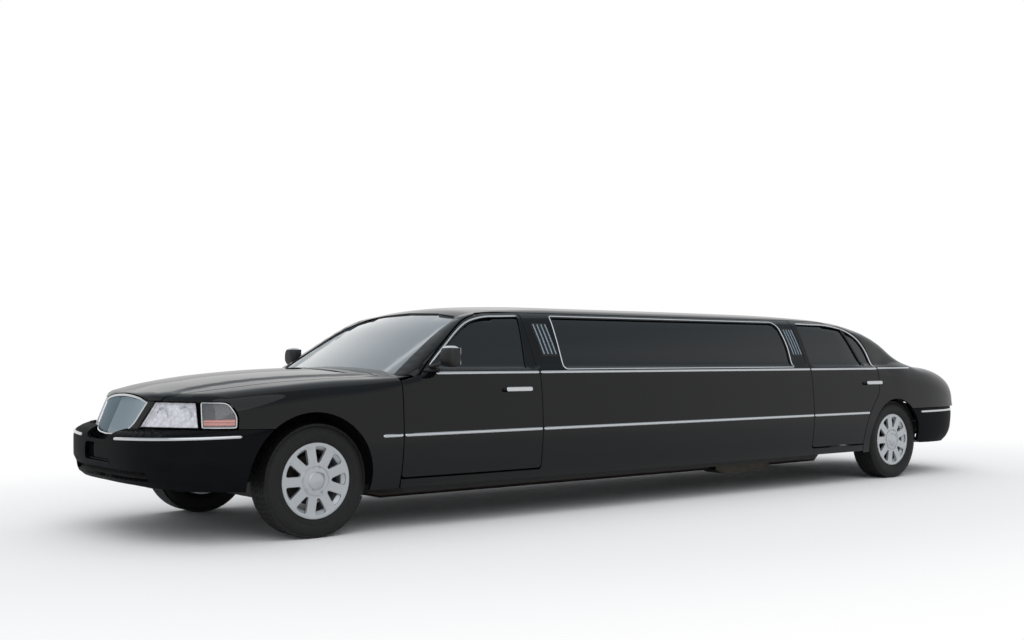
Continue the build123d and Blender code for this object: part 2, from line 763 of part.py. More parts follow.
# ------------------------------------------------------------------ rear end
def quarter():
    """Left rear quarter panel with its C-pillar."""
    skin = lower_shell & block(rear(-560), rear(1410), -FAR / 8, 0, SILL_Z, 1100)
    skin = skin - plan_prism(both([(x, w + SHUT_GAP) for x, w in LID_PLAN]), LID_LOW_Z - 60, 1200)
    skin = skin - block(rear(-600), LID_FRONT_X + 1, -REAR_DECK_HALF_WIDTH, 0, 0, 1100)
    skin = skin - block(REAR_BUMPER_X, rear(1500), -FAR / 8, 0, 0, REAR_BUMPER_TOP_Z)
    skin = skin - block(TAIL_LAMP_X, rear(1500), -FAR / 8, 0, 0, TAIL_LAMP_TOP_Z)
    pillar = (upper_shell - lower_block(0, False)) & block(rear(-300), rear(700), -FAR / 8, -600, 900, 1500)
    post = wall_layer(0, None, rear(-560), rear(-200))
    post = post & block(rear(-560), rear(-200), -FAR / 8, 0, SILL_Z, 1000)
    back_glass = section_prism(view_ring(BACK_GLASS_REAR_VIEW), rear(-600), rear(800))
    piece = skin + (post & lower_block(0, False)) + (pillar - back_glass)
    piece = piece - rear_door_hole - arch_cut(REAR_ARCH_X, REAR_ARCH_Z, REAR_ARCH_RADIUS) - rear_tyre_room()
    piece = piece - block(rear(-600), rear(-512 + SHUT_GAP), -FAR / 8, 0, 0, 1500)
    return piece & block(rear(-504), rear(1500), -FAR / 8, 0, 0, 1500)


quarter_left = quarter()


def trunk_lid():
    """Trunk lid: top and upright rear face with a flat number-plate panel, and its hinge lugs."""
    outline = plan_prism(both(LID_PLAN), LID_LOW_Z, 1200)
    panel = lower_shell & outline
    half, low, high = PLATE_PANEL_HALF, PLATE_Z - PLATE_PANEL_HALF_HEIGHT, PLATE_Z + PLATE_PANEL_HALF_HEIGHT
    flat = block(rear(1325), LID_FACE_X, -half, half, low, high)
    panel = panel - block(rear(1300), rear(1500), -half, half, low, high) + flat
    for hole in plate_holes(rear(1200), rear(1500), PLATE_Z):
        panel = panel - hole
    return lid_hinges(panel, LID_HINGE_X, LID_HINGE_Z, -1)


# ------------------------------------------------------------------ upper body and glass
def roof():
    """Roof with the A-pillars and both glass headers."""
    panel = upper_shell - lower_block(0, False)
    rail = side_prism(
        (
            (FRONT_DOOR_END - 40, 800),
            (REAR_DOOR_START + 40, 800),
            (REAR_DOOR_START + 40, ROOF_RAIL_Z),
            (FRONT_DOOR_END - 40, ROOF_RAIL_Z),
        ),
        -FAR / 8,
        FAR / 8,
    )
    for hole in (door_room(front_door_hole), door_room(rear_door_hole)):
        panel = panel - hole - mirrored(hole)
    below_belt = block(front(600), rear(700), -FAR / 8, FAR / 8, 800, 1000)
    panel = panel - rail - below_belt
    panel = panel - section_prism(view_ring(WINDSHIELD_FRONT_VIEW), front(200), front(1650))
    panel = panel - section_prism(view_ring(BACK_GLASS_REAR_VIEW), rear(-600), rear(800))
    for side in (-1, 1):
        y_low, y_high = sorted((side * 600, side * FAR / 8))
        panel = panel - block(rear(-300), rear(800), y_low, y_high, 800, 1500)
    return panel


def glass_between(view, x_low, x_high):
    """Glass under the outer surface that fills an opening seen end-on."""
    layer = upper_block(GLASS_INSET) - upper_block(GLASS_INSET + GLASS_THICKNESS)
    return (layer & section_prism(view_ring(view), x_low, x_high)) - lower_block(0, False)


def cowl_panel():
    """Body skin in front of the windshield foot."""
    half = FRONT_COWL_HALF_WIDTH
    return lower_shell & block(HOOD_REAR_X + LID_REAR_GAP, front(790), -half, half, 900, 1100)


def deck_panel():
    """Body skin between the back glass and the trunk lid."""
    half = REAR_DECK_HALF_WIDTH
    return lower_shell & block(rear(60), LID_FRONT_X - LID_REAR_GAP, -half, half, 900, 1100)


# ------------------------------------------------------------------ wheels and tyres
def wheel_y(tuck):
    """Distance of a tyre's outer face from the middle of the car."""
    return HALF_WIDTH - tuck


def ring_solid(outline, x, z):
    """Solid of revolution about a crosswise line from (radius, y) pairs."""
    face = Face(Wire.make_polygon([(x + r, y, z) for r, y in outline], close=True))
    return revolve(face, Axis((x, 0, z), (0, 1, 0)), 360)


def tyre(x, face_y):
    """Left tyre, from its outer face inwards."""
    half = ((RIM_RADIUS, 12), (RIM_RADIUS + 14, 12), (262, 1), (300, 0), (334, 12), (TYRE_RADIUS, 36))
    outline = [(r, -face_y + d) for r, d in half]
    outline += [(r, -face_y + TYRE_WIDTH - d) for r, d in reversed(half)]
    return ring_solid(outline, x, AXLE_Z)


def wheel(x, face_y):
    """Left alloy wheel with nine flat spokes, its hub and brake disc."""
    lip = RIM_RADIUS + 14
    barrel = (
        (RIM_BORE_RADIUS, 14),
        (lip - 6, 4),
        (lip, 4),
        (lip, 12),
        (RIM_RADIUS, 12),
        (RIM_RADIUS, TYRE_WIDTH - 12),
        (lip, TYRE_WIDTH - 12),
        (lip, TYRE_WIDTH - 4),
        (RIM_BORE_RADIUS + 8, TYRE_WIDTH - 4),
        (RIM_BORE_RADIUS, TYRE_WIDTH - 30),
    )
    solid = ring_solid([(r, -face_y + d) for r, d in barrel], x, AXLE_Z)
    disc = ((0, 30), (60, 30), (RIM_BORE_RADIUS, 20), (RIM_BORE_RADIUS, 52), (66, 66), (0, 66))
    disc = ring_solid([(r, -face_y + d) for r, d in disc], x, AXLE_Z)
    for number in range(WHEEL_SPOKES):
        middle = 90 + 360 / WHEEL_SPOKES * (number + 0.5)
        corners = []
        for radius, spread in ((84, 7), (186, 7.5)):
            corners += [(radius, middle - spread), (radius, middle + spread)]
        order = [corners[0], corners[1], corners[3], corners[2]]
        points = [(x + r * cos(radians(a)), -face_y - 20, AXLE_Z + r * sin(radians(a))) for r, a in order]
        disc = disc - prism(points, (0, 120, 0))
    hub = rod((x, -face_y + 60, AXLE_Z), (x, -face_y + HUB_INNER, AXLE_Z), 68)
    rotor = rod((x, -face_y + HUB_INNER - 26, AXLE_Z), (x, -face_y + HUB_INNER, AXLE_Z), 152)
    bore_end = -face_y + HUB_INNER + 10
    bore = rod((x, -face_y + 74, AXLE_Z), (x, bore_end, AXLE_Z), SPINDLE_RADIUS + RUNNING_GAP)
    return solid + disc + hub + rotor - bore


# ------------------------------------------------------------------ running gear
def knuckle(x, face_y):
    """Left steering knuckle: post on the kingpin line, spindle, pins and caliper."""
    y = -(face_y - KINGPIN_FROM_FACE)
    post = rod((x, y, LOWER_JOINT_Z + 15), (x, y, UPPER_JOINT_Z - 15), 24)
    pins = rod((x, y, LOWER_JOINT_Z - 10), (x, y, UPPER_JOINT_Z + 10), 11)
    spindle = rod((x, y, AXLE_Z), (x, -face_y + 76, AXLE_Z), SPINDLE_RADIUS)
    collar_end = -face_y + HUB_INNER + 5.5
    collar = rod((x, y, AXLE_Z), (x, collar_end, AXLE_Z), 46)
    arm = block(x, x + 150, y - 12, y + 12, AXLE_Z - 40, AXLE_Z - 16)
    return post + pins + spindle + collar + arm


def front_suspension():
    """Cross member with both pairs of arms, bored for the kingpins."""
    x = front(0)
    kingpin = wheel_y(FRONT_TYRE_TUCK) - KINGPIN_FROM_FACE
    piece = block(x - 110, x + 110, -FRONT_RAIL_Y - 35, FRONT_RAIL_Y + 35, 200, ENGINE_LOW_Z)
    for side in (-1, 1):
        low, high = sorted((side * (FRONT_RAIL_Y - 35), side * (FRONT_RAIL_Y + 35)))
        piece = piece + block(x - 60, x + 60, low, high, ENGINE_LOW_Z, FRONT_RAIL_LOW_Z)
        piece = piece + block(x - 55, x + 55, low, high, FRONT_RAIL_HIGH_Z, UPPER_JOINT_Z + 10)
        for z, reach in ((LOWER_JOINT_Z, 105), (UPPER_JOINT_Z, 55)):
            arm = plan_prism(
                (
                    (x - reach, side * (FRONT_RAIL_Y + 30)),
                    (x - 22, side * kingpin),
                    (x + 22, side * kingpin),
                    (x + reach, side * (FRONT_RAIL_Y + 30)),
                ),
                z - 10,
                z + 10,
            )
            eye = rod((x, side * kingpin, z - 10), (x, side * kingpin, z + 10), 24)
            hole = rod((x, side * kingpin, z - 30), (x, side * kingpin, z + 30), 11 + RUNNING_GAP)
            piece = piece + arm + eye - hole
    return piece


def rear_axle():
    """Live axle with its differential, spindles, trailing arms and air springs."""
    reach = wheel_y(REAR_TYRE_TUCK) - HUB_INNER - 5.5
    x = rear(0)
    piece = rod((x, -reach, AXLE_Z), (x, reach, AXLE_Z), 42)
    piece = piece + Pos(x, 0, AXLE_Z) * Sphere(128) + rod((x - 190, 0, AXLE_Z), (x, 0, AXLE_Z), 60)
    tip = reach + HUB_INNER - 76
    piece = piece + rod((x, -tip, AXLE_Z), (x, tip, AXLE_Z), SPINDLE_RADIUS)
    for side in (-1, 1):
        y = side * REAR_RAIL_Y
        piece = piece + rod((x, y, AXLE_Z), (x, y, REAR_KICK_LOW_Z), 56)
        arm = rod((x, y, AXLE_Z - 30), (rear(-560), y, AXLE_Z - 60), 20)
        bracket = block(rear(-600), rear(-545), y - 30, y + 30, AXLE_Z - 85, REAR_KICK_LOW_Z - 60)
        piece = piece + arm + bracket
    return piece


def frame_rail():
    """Left side rail: its plan band and its side band."""
    y_stations = ((front(-880), FRONT_RAIL_Y), (front(430), FRONT_RAIL_Y), (front(760), CABIN_RAIL_Y))
    y_stations += ((rear(-900), CABIN_RAIL_Y), (rear(-640), REAR_RAIL_Y), (rear(1300), REAR_RAIL_Y))
    band = [(x, -y - RAIL_HALF_WIDTH) for x, y in y_stations]
    band += [(x, -y + RAIL_HALF_WIDTH) for x, y in reversed(y_stations)]
    heights = (
        (front(-880), FRONT_RAIL_LOW_Z, FRONT_RAIL_HIGH_Z),
        (front(330), FRONT_RAIL_LOW_Z, FRONT_RAIL_HIGH_Z),
        (FIREWALL_X - SHEET - 4, CABIN_RAIL_LOW_Z, FLOOR_LOW_Z),
        (rear(-820), CABIN_RAIL_LOW_Z, FLOOR_LOW_Z),
        (rear(-600), REAR_KICK_LOW_Z, REAR_KICK_HIGH_Z),
        (rear(360), REAR_KICK_LOW_Z, REAR_KICK_HIGH_Z),
        (rear(560), TRUNK_FLOOR_LOW_Z - 105, TRUNK_FLOOR_LOW_Z),
        (rear(1300), TRUNK_FLOOR_LOW_Z - 105, TRUNK_FLOOR_LOW_Z),
    )
    side = [(x, low) for x, low, high in heights] + [(x, high) for x, low, high in reversed(heights)]
    return plan_prism(band, 0, 900) & side_prism(side, -FAR / 8, 0)


def frame():
    """Perimeter frame: two rails, cross members and the drive shaft's two bearing brackets."""
    rail = frame_rail()
    piece = rail + mirrored(rail)
    wide = CABIN_RAIL_Y
    for x in cross_members:
        piece = piece + block(x - 40, x + 40, -wide, wide, CABIN_RAIL_LOW_Z, CROSS_MEMBER_HIGH_Z)
    for x in cross_members[1:]:
        carrier = block(x - 30, x + 30, -75, 75, CROSS_MEMBER_HIGH_Z, SHAFT_Z + 70)
        piece = piece + carrier - rod((x - 60, 0, SHAFT_Z), (x + 60, 0, SHAFT_Z), SHAFT_RADIUS)
    pad_low_z = CABIN_RAIL_LOW_Z - JACK_PAD_HEIGHT
    half = RAIL_HALF_WIDTH - 5
    for x in (JACK_PAD_FRONT_X, JACK_PAD_REAR_X):
        for y in (-CABIN_RAIL_Y, CABIN_RAIL_Y):
            piece = piece + block(x - 60, x + 60, y - half, y + half, pad_low_z, CABIN_RAIL_LOW_Z)
    narrow = FRONT_RAIL_Y
    nose = block(front(-880), front(-810), -narrow, narrow, FRONT_RAIL_LOW_Z, FRONT_RAIL_HIGH_Z - 20)
    narrow = REAR_RAIL_Y
    tail = block(rear(1240), rear(1300), -narrow, narrow, TRUNK_FLOOR_LOW_Z - 105, TRUNK_FLOOR_LOW_Z)
    middle = block(rear(330), rear(390), -narrow, narrow, REAR_KICK_LOW_Z + 20, REAR_KICK_HIGH_Z)
    return piece + nose + tail + middle


def frame_sections():
    """The frame's front, added and rear sections, welded end to end."""
    whole = frame()
    spans = ((-FAR, FRAME_FRONT_WELD), (FRAME_FRONT_WELD, FRAME_REAR_WELD), (FRAME_REAR_WELD, FAR))
    return [whole & block(low, high, -FAR, FAR, 0, FAR / 8) for low, high in spans]


def exhaust():
    """Two pipes with a muffler each and tail pipes over the axle."""
    solids = []
    for side in (-1, 1):
        y = side * EXHAUST_Y
        muffler = side_prism(
            (
                (rear(-1990), EXHAUST_Z - 18),
                (rear(-1900), EXHAUST_Z - 55),
                (rear(-1400), EXHAUST_Z - 55),
                (rear(-1300), EXHAUST_Z - 18),
                (rear(-1300), EXHAUST_Z + 12),
                (rear(-1400), EXHAUST_Z + 28),
                (rear(-1900), EXHAUST_Z + 28),
                (rear(-1990), EXHAUST_Z + 12),
            ),
            y - 95,
            y + 95,
        )
        feed = (
            (front(300), side * ENGINE_HALF_WIDTH, 400),
            (front(300), side * (ENGINE_HALF_WIDTH + 50), 400),
            (front(430), side * 330, 250),
            (front(760), y, EXHAUST_Z),
            (rear(-1980), y, EXHAUST_Z),
        )
        tail = (
            (rear(-1310), y, EXHAUST_Z),
            (rear(-560), y, EXHAUST_Z),
            (rear(-260), y, TAIL_PIPE_HIGH_Z),
            (rear(240), y, TAIL_PIPE_HIGH_Z),
            (rear(520), y, TAIL_PIPE_LOW_Z + 20),
            (rear(1330), y, TAIL_PIPE_LOW_Z - 10),
        )
        piece = muffler + bar_path(feed, PIPE_RADIUS) + bar_path(tail, PIPE_RADIUS)
        hangers = (
            (cross_members[1], EXHAUST_Z, CABIN_RAIL_LOW_Z),
            (cross_members[2], EXHAUST_Z, CABIN_RAIL_LOW_Z),
            (rear(900), TAIL_PIPE_LOW_Z, TRUNK_FLOOR_LOW_Z),
        )
        for x, z_low, z_high in hangers:
            piece = piece + block(x - 12, x + 12, y - 6, y + 6, z_low, z_high)
        solids.append(piece)
    return solids


def drive_shaft():
    """Shaft from the transmission to the differential."""
    return rod((TRANSMISSION_END, 0, SHAFT_Z), (rear(-190), 0, SHAFT_Z), SHAFT_RADIUS)


def transmission():
    """Gearbox behind the engine."""
    outline = (
        (ENGINE_END, 250),
        (ENGINE_END, 452),
        (TRANSMISSION_END, 400),
        (TRANSMISSION_END, 262),
        (front(900), 240),
    )
    return side_prism(outline, -TRANSMISSION_HALF_WIDTH, TRANSMISSION_HALF_WIDTH)


def engine():
    """Engine as one plain block on the cross member."""
    return block(front(-370), ENGINE_END, -ENGINE_HALF_WIDTH, ENGINE_HALF_WIDTH, ENGINE_LOW_Z, 840)


def radiator():
    """Radiator and its fan as one block between the frame horns."""
    return block(front(-810), front(-720), -345, 345, FRONT_RAIL_LOW_Z - 20, 780)


# ------------------------------------------------------------------ floor, firewall and wheelhouses
def floor_pan():
    """Floor with its tunnel, the step over the axle and the trunk floor."""
    half = FLOOR_HALF_WIDTH
    low, high = FLOOR_LOW_Z, FLOOR_LOW_Z + SHEET
    tunnel = (
        (-half, low),
        (-TUNNEL_HALF - SHEET, low),
        (-TUNNEL_HALF - SHEET, TUNNEL_Z),
        (TUNNEL_HALF + SHEET, TUNNEL_Z),
        (TUNNEL_HALF + SHEET, low),
        (half, low),
        (half, high),
        (TUNNEL_HALF + 2 * SHEET, high),
        (TUNNEL_HALF + 2 * SHEET, TUNNEL_Z + SHEET),
        (-TUNNEL_HALF - 2 * SHEET, TUNNEL_Z + SHEET),
        (-TUNNEL_HALF - 2 * SHEET, high),
        (-half, high),
    )
    cabin = section_prism(tunnel, FIREWALL_X, rear(-840))
    over_step = section_prism(tunnel[1:5] + tunnel[7:11], rear(-840), rear(-690))
    top = (
        (rear(-840), low),
        (rear(-640), REAR_KICK_HIGH_Z),
        (rear(400), REAR_KICK_HIGH_Z),
        (rear(580), TRUNK_FLOOR_LOW_Z),
        (rear(1300), TRUNK_FLOOR_LOW_Z),
    )
    layer = list(top) + [(x, z + SHEET) for x, z in reversed(top)]
    back = side_prism(layer, -REAR_FLOOR_HALF, REAR_FLOOR_HALF)
    tail = (
        (rear(-900), REAR_FLOOR_HALF),
        (rear(1150), REAR_FLOOR_HALF),
        (rear(1300), REAR_RAIL_Y + RAIL_HALF_WIDTH),
    )
    back = back & plan_prism(both(tail), 0, 900)
    step = block(rear(-860), rear(-840), -half, half, low, high)
    arch = block(rear(-900), rear(-690), -TUNNEL_HALF - SHEET, TUNNEL_HALF + SHEET, 0, TUNNEL_Z)
    return cabin + over_step + ((step + back) - arch)


def wheelhouse(x, z, radius, y_inner, x_trim):
    """Left wheelhouse liner: half drum against the body skin."""
    outer = rod((x, -FAR / 8, z), (x, -y_inner, z), radius + LINER)
    inner = rod((x, -FAR / 8, z), (x, -y_inner - LINER, z), radius)
    return (outer - inner) & lower_block(BODY_WALL, True) & block(x - FAR, x + FAR, -FAR, 0, x_trim, FAR)


def front_wheelhouse():
    """Left front liner, open at its inner side below the rail top for the suspension arms."""
    drum = wheelhouse(front(-12), AXLE_Z, FRONT_ARCH_RADIUS + 30, FRONT_RAIL_Y + 40, SILL_Z + 20)
    opening = block(front(-440), front(430), -FRONT_RAIL_Y - 60, 0, 0, UPPER_JOINT_Z + 40)
    return drum - opening - fender_left - frame_rail()


def bulkhead():
    """Firewall and cowl box."""
    wall = block(FIREWALL_X - SHEET, FIREWALL_X, -COWL_BOX_HALF, COWL_BOX_HALF, FLOOR_LOW_Z, 915)
    wall = wall - block(front(300), front(700), -TUNNEL_HALF - SHEET, TUNNEL_HALF + SHEET, 0, TUNNEL_Z)
    rail = frame_rail()
    wall = wall - rail - mirrored(rail)
    skin = cowl_panel()
    half = COWL_BOX_HALF
    shelf = block(FIREWALL_X - SHEET, front(560), -half, half, COWL_SHELF_Z, COWL_SHELF_Z + 20)
    riser = block(front(540), front(560), -half, half, COWL_SHELF_Z, 1030) & lower_block(10, False)
    piece = wall + skin + shelf + riser
    for bracket in lid_bracket(HOOD_HINGE_X, HOOD_HINGE_Z, FIREWALL_X, COWL_SHELF_Z + 5):
        piece = piece + bracket
    return piece


def trunk_well():
    """Seat bulkhead, parcel shelf with the deck skin, rear panel and rear wheelhouses."""
    half = REAR_FLOOR_HALF
    wall = block(SEAT_WALL_X, SEAT_WALL_X + SHEET, -half, half, REAR_KICK_HIGH_Z + SHEET, 1000)
    shelf = block(SEAT_WALL_X, rear(300), -REAR_DECK_HALF_WIDTH, REAR_DECK_HALF_WIDTH, 985, 1000)
    tail_half = REAR_RAIL_Y + RAIL_HALF_WIDTH
    panel = block(rear(1300), rear(1316), -tail_half, tail_half, TRUNK_FLOOR_LOW_Z - 80, 628)
    piece = wall + shelf + deck_panel()
    for bracket in lid_bracket(LID_HINGE_X, LID_HINGE_Z, LID_HINGE_X, LID_ARM_Z):
        piece = piece + bracket
    for y in (-LID_HINGE_Y, LID_HINGE_Y):
        piece = piece + block(rear(280), LID_HINGE_X + 9, y - 32, y + 32, LID_ARM_Z, LID_ARM_Z + 20)
        piece = piece + block(rear(280), rear(300), y - 32, y + 32, LID_ARM_Z, 985)
    liner = wheelhouse(rear(-36), REAR_ARCH_Z, REAR_ARCH_RADIUS + 16, half, SILL_Z + 40)
    axle_way = block(rear(-70), rear(70), -FAR, 0, 0, AXLE_Z + 110)
    liner = liner - quarter_left - stretch_left - rear_door_hole - bumper_rear - axle_way
    return [piece, panel, liner, mirrored(liner)]


# ------------------------------------------------------------------ cabin
def dashboard():
    """Instrument panel from the firewall back, with a column bracket."""
    outline = (
        (FIREWALL_X, 640),
        (FIREWALL_X, COWL_SHELF_Z - 2),
        (front(562), COWL_SHELF_Z - 2),
        (front(580), 925),
        (front(820), 930),
        (front(930), 905),
        (front(955), 800),
        (front(860), 640),
    )
    piece = side_prism(outline, -DASH_HALF, DASH_HALF)
    start, end = column_points(-260), column_points(-70)
    bore = rod(column_points(-200), column_points(0), COLUMN_RADIUS + RUNNING_GAP)
    return piece + (rod(start, end, 44) - block(FIREWALL_X - 400, FIREWALL_X, -FAR, FAR, 0, FAR)) - bore


def column_points(along):
    """Point on the steering column, measured from the wheel's centre."""
    return (
        STEERING_X + along * cos(radians(COLUMN_TILT)),
        STEERING_Y,
        STEERING_Z + along * sin(radians(COLUMN_TILT)),
    )


def steering_wheel():
    """Steering wheel on its column: rim, three spokes and hub."""
    rim = Solid.make_torus(STEERING_RADIUS, 14, Plane.XY)
    hub = Solid.make_cylinder(52, 46, Plane(origin=(0, 0, -40), z_dir=(0, 0, 1)))
    piece = rim + hub
    for angle in (0, 180, 270):
        tip = (STEERING_RADIUS * cos(radians(angle)), STEERING_RADIUS * sin(radians(angle)), -6)
        piece = piece + rod((0, 0, -20), tip, 13)
    axis = (cos(radians(COLUMN_TILT)), 0, sin(radians(COLUMN_TILT)))
    piece = Plane(origin=column_points(0), x_dir=(0, 1, 0), z_dir=axis) * piece
    return piece + rod(column_points(-190), column_points(-10), COLUMN_RADIUS)


def tunnel_room(x_low, x_high):
    """The floor's tunnel and all below it."""
    half = TUNNEL_HALF + 2 * SHEET
    return block(x_low, x_high, -half, half, 0, TUNNEL_Z + SHEET)


def front_seat(y):
    """Driver's or front passenger's seat: base, cushion, back and head restraint."""
    low = FLOOR_LOW_Z + SHEET
    outline = (
        (front(1230), low),
        (front(1210), 520),
        (front(1200), 610),
        (front(1560), 585),
        (front(1690), 1090),
        (front(1710), 1220),
        (front(1790), 1225),
        (front(1830), 1080),
        (front(1740), 520),
        (front(1730), low),
    )
    seat = side_prism(outline, y - 265, y + 265)
    for side in (-1, 1):
        y_low, y_high = sorted((y + side * 150, y + side * 300))
        seat = seat - block(front(1500), front(1900), y_low, y_high, 1100, 1300)
    return seat - tunnel_room(front(1100), front(1900))


def partition():
    """Wall between the driver's and the passengers' cabins, with its window cut."""
    half = FLOOR_HALF_WIDTH - 15
    low = FLOOR_LOW_Z + SHEET
    outline = ((-half, low), (-half, 940), (268 - HALF_WIDTH, 1330), (433 - HALF_WIDTH, 1405))
    outline += tuple((-y, z) for y, z in reversed(outline))
    wall = section_prism(outline, PARTITION_X, PARTITION_X + 40)
    x_low, x_high = PARTITION_X - 10, PARTITION_X + 60
    return wall - tunnel_room(x_low, x_high) - block(x_low, x_high, -520, 520, 1000, 1310)


def passenger_seats():
    """Rear bench, and the long seat along the right side."""
    low = FLOOR_LOW_Z + SHEET
    kick = REAR_KICK_HIGH_Z + SHEET
    bench = (
        (rear(-880), low),
        (rear(-890), 560),
        (rear(-880), 620),
        (rear(-420), 600),
        (rear(-300), 1060),
        (rear(-200), 1070),
        (SEAT_WALL_X - 10, 940),
        (SEAT_WALL_X - 10, kick),
        (rear(-650), kick),
        (rear(-842), low + 14),
    )
    rear_bench = side_prism(bench, -REAR_FLOOR_HALF + 10, REAR_FLOOR_HALF - 10)
    rear_bench = rear_bench - floor_pan() - tunnel_room(rear(-1000), rear(-600))
    side = (
        (230, low),
        (215, 520),
        (225, 600),
        (HALF_WIDTH - 373, 590),
        (HALF_WIDTH - 313, 960),
        (HALF_WIDTH - 253, 965),
        (FLOOR_HALF_WIDTH - 35, 600),
        (FLOOR_HALF_WIDTH - 35, low),
    )
    side_seat = section_prism(side, PARTITION_X + 520, rear(-1290))
    return [rear_bench, side_seat]


def bar_cabinet():
    """Bar cabinet along the left side, with a recess for glasses."""
    low = FLOOR_LOW_Z + SHEET
    x_low, x_high = PARTITION_X + 400, rear(-1420)
    body = block(x_low, x_high, -FLOOR_HALF_WIDTH + 35, -470, low, 800)
    return body - block(x_low + 300, x_high - 300, -FLOOR_HALF_WIDTH + 180, -500, 690, 900)


def mirror():
    """Left door mirror with its arm."""
    shell = plan_prism(
        (
            (front(868), -MIRROR_OUTER),
            (front(850), -MIRROR_OUTER + 40),
            (front(838), -MIRROR_INNER),
            (front(925), -MIRROR_INNER),
            (front(945), -MIRROR_OUTER),
        ),
        1048,
        1184,
    )
    arm = block(front(850), front(915), -MIRROR_INNER, -HALF_WIDTH + 90, 1050, 1086)
    return (shell + arm) - wall_layer(0, 80, front(700), front(1100))


def build():
    """Every sub-part by name."""
    head = lamp(front(-1100), LAMP_REAR_X, LAMP_INNER_Y, LAMP_LOW_Z, HOOD_LIP_Z)
    tail = lamp(TAIL_LAMP_X, rear(1500), TAIL_LAMP_INNER_Y, REAR_BUMPER_TOP_Z, TAIL_LAMP_TOP_Z)
    side_glass = pane(LONG_WINDOW)
    front_glass = pane(FRONT_DOOR_WINDOW)
    rear_glass = pane(REAR_DOOR_WINDOW)
    mirror_left = mirror()
    liner = front_wheelhouse()
    frame_front, frame_middle, frame_rear = frame_sections()
    parts = {
        "frame_front": [frame_front],
        "frame_middle": [frame_middle],
        "frame_rear": [frame_rear],
        "floor_pan": [floor_pan()],
        "engine": [engine()],
        "radiator": [radiator()],
        "transmission": [transmission()],
        "drive_shaft": [drive_shaft()],
        "exhaust": exhaust(),
        "front_suspension": [front_suspension()],
        "rear_axle": [rear_axle()],
        "front_wheelhouses": [liner, mirrored(liner)],
        "bulkhead": [bulkhead()],
        "trunk_well": trunk_well(),
        "front_bumper": [front_bumper()],
        "rear_bumper": [bumper_rear],
        "grille": [grille()],
        "headlamps": [head, mirrored(head)],
        "tail_lamps": [tail, mirrored(tail)],
        "front_fenders": [fender_left, mirrored(fender_left)],
        "stretch_panels": [stretch_left, mirrored(stretch_left)],
        "rear_quarters": [quarter_left, mirrored(quarter_left)],
        "roof": [roof()],
        "windshield": [glass_between(WINDSHIELD_FRONT_VIEW, front(200), front(1650))],
        "rear_window": [glass_between(BACK_GLASS_REAR_VIEW, rear(-600), rear(800))],
        "stretch_windows": [side_glass, mirrored(side_glass)],
        "hood": [hood()],
        "trunk_lid": [trunk_lid()],
        "dashboard": [dashboard()],
        "steering_wheel": [steering_wheel()],
        "front_seats": [front_seat(-FRONT_SEAT_Y), front_seat(FRONT_SEAT_Y)],
        "partition": [partition()],
        "passenger_seats": passenger_seats(),
        "bar_cabinet": [bar_cabinet()],
    }
    left_pieces = {
        "front_door": front_door_left,
        "rear_door": rear_door_left,
        "front_door_glass": front_glass,
        "rear_door_glass": rear_glass,
        "door_mirror": mirror_left,
        "knuckle": knuckle(front(0), wheel_y(FRONT_TYRE_TUCK)),
        "front_wheel": wheel(front(0), wheel_y(FRONT_TYRE_TUCK)),
        "front_tyre": tyre(front(0), wheel_y(FRONT_TYRE_TUCK)),
        "rear_wheel": wheel(rear(0), wheel_y(REAR_TYRE_TUCK)),
        "rear_tyre": tyre(rear(0), wheel_y(REAR_TYRE_TUCK)),
    }
    for name, piece in left_pieces.items():
        parts[name + "_left"] = [piece]
        parts[name + "_right"] = [mirrored(piece)]
    return parts


os.makedirs("parts", exist_ok=True)
for name, pieces in build().items():
    solids = [solid for piece in pieces for solid in piece.solids()]
    export_step(Compound(solids) if len(solids) > 1 else solids[0], f"parts/{name}.step")
    print(name, len(solids), "solids")
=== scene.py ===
from math import asin, cos, degrees, pi, radians, sin

import bmesh
import bpy
import numpy as np
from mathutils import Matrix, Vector
from mathutils.geometry import delaunay_2d_cdt


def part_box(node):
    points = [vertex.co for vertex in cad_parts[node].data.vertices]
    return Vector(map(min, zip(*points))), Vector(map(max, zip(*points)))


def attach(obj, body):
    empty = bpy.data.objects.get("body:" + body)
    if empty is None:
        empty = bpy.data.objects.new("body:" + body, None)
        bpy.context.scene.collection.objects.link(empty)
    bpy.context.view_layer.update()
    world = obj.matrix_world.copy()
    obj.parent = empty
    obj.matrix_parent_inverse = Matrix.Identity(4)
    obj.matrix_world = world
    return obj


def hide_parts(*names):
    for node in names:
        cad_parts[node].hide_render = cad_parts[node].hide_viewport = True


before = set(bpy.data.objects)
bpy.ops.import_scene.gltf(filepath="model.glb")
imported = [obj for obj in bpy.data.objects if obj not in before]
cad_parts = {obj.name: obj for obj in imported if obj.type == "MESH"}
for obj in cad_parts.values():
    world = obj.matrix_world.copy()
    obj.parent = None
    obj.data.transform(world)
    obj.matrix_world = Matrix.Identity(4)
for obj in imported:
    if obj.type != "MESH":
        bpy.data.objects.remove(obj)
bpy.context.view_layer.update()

# Stretch limousine. Metres. +X runs rearwards, +Y to the car's right, +Z up.

# ------------------------------------------------------------------ sizes taken from the frame
front_tyre_low, front_tyre_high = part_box("front_tyre_left")
rear_tyre_low, rear_tyre_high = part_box("rear_tyre_left")
FRONT_AXLE_X = (front_tyre_low.x + front_tyre_high.x) / 2
REAR_AXLE_X = (rear_tyre_low.x + rear_tyre_high.x) / 2
AXLE_Z = (front_tyre_low.z + front_tyre_high.z) / 2
TYRE_RADIUS = (front_tyre_high.z - front_tyre_low.z) / 2
TYRE_WIDTH = front_tyre_high.y - front_tyre_low.y
FRONT_FACE_Y = -front_tyre_low.y
REAR_FACE_Y = -rear_tyre_low.y
HALF_WIDTH = 0.993
SHUT_GAP = 0.006
UPPER_CROWN_AXIS_Z = -3.8
LOWER_CROWN_AXIS_Z = -6.0


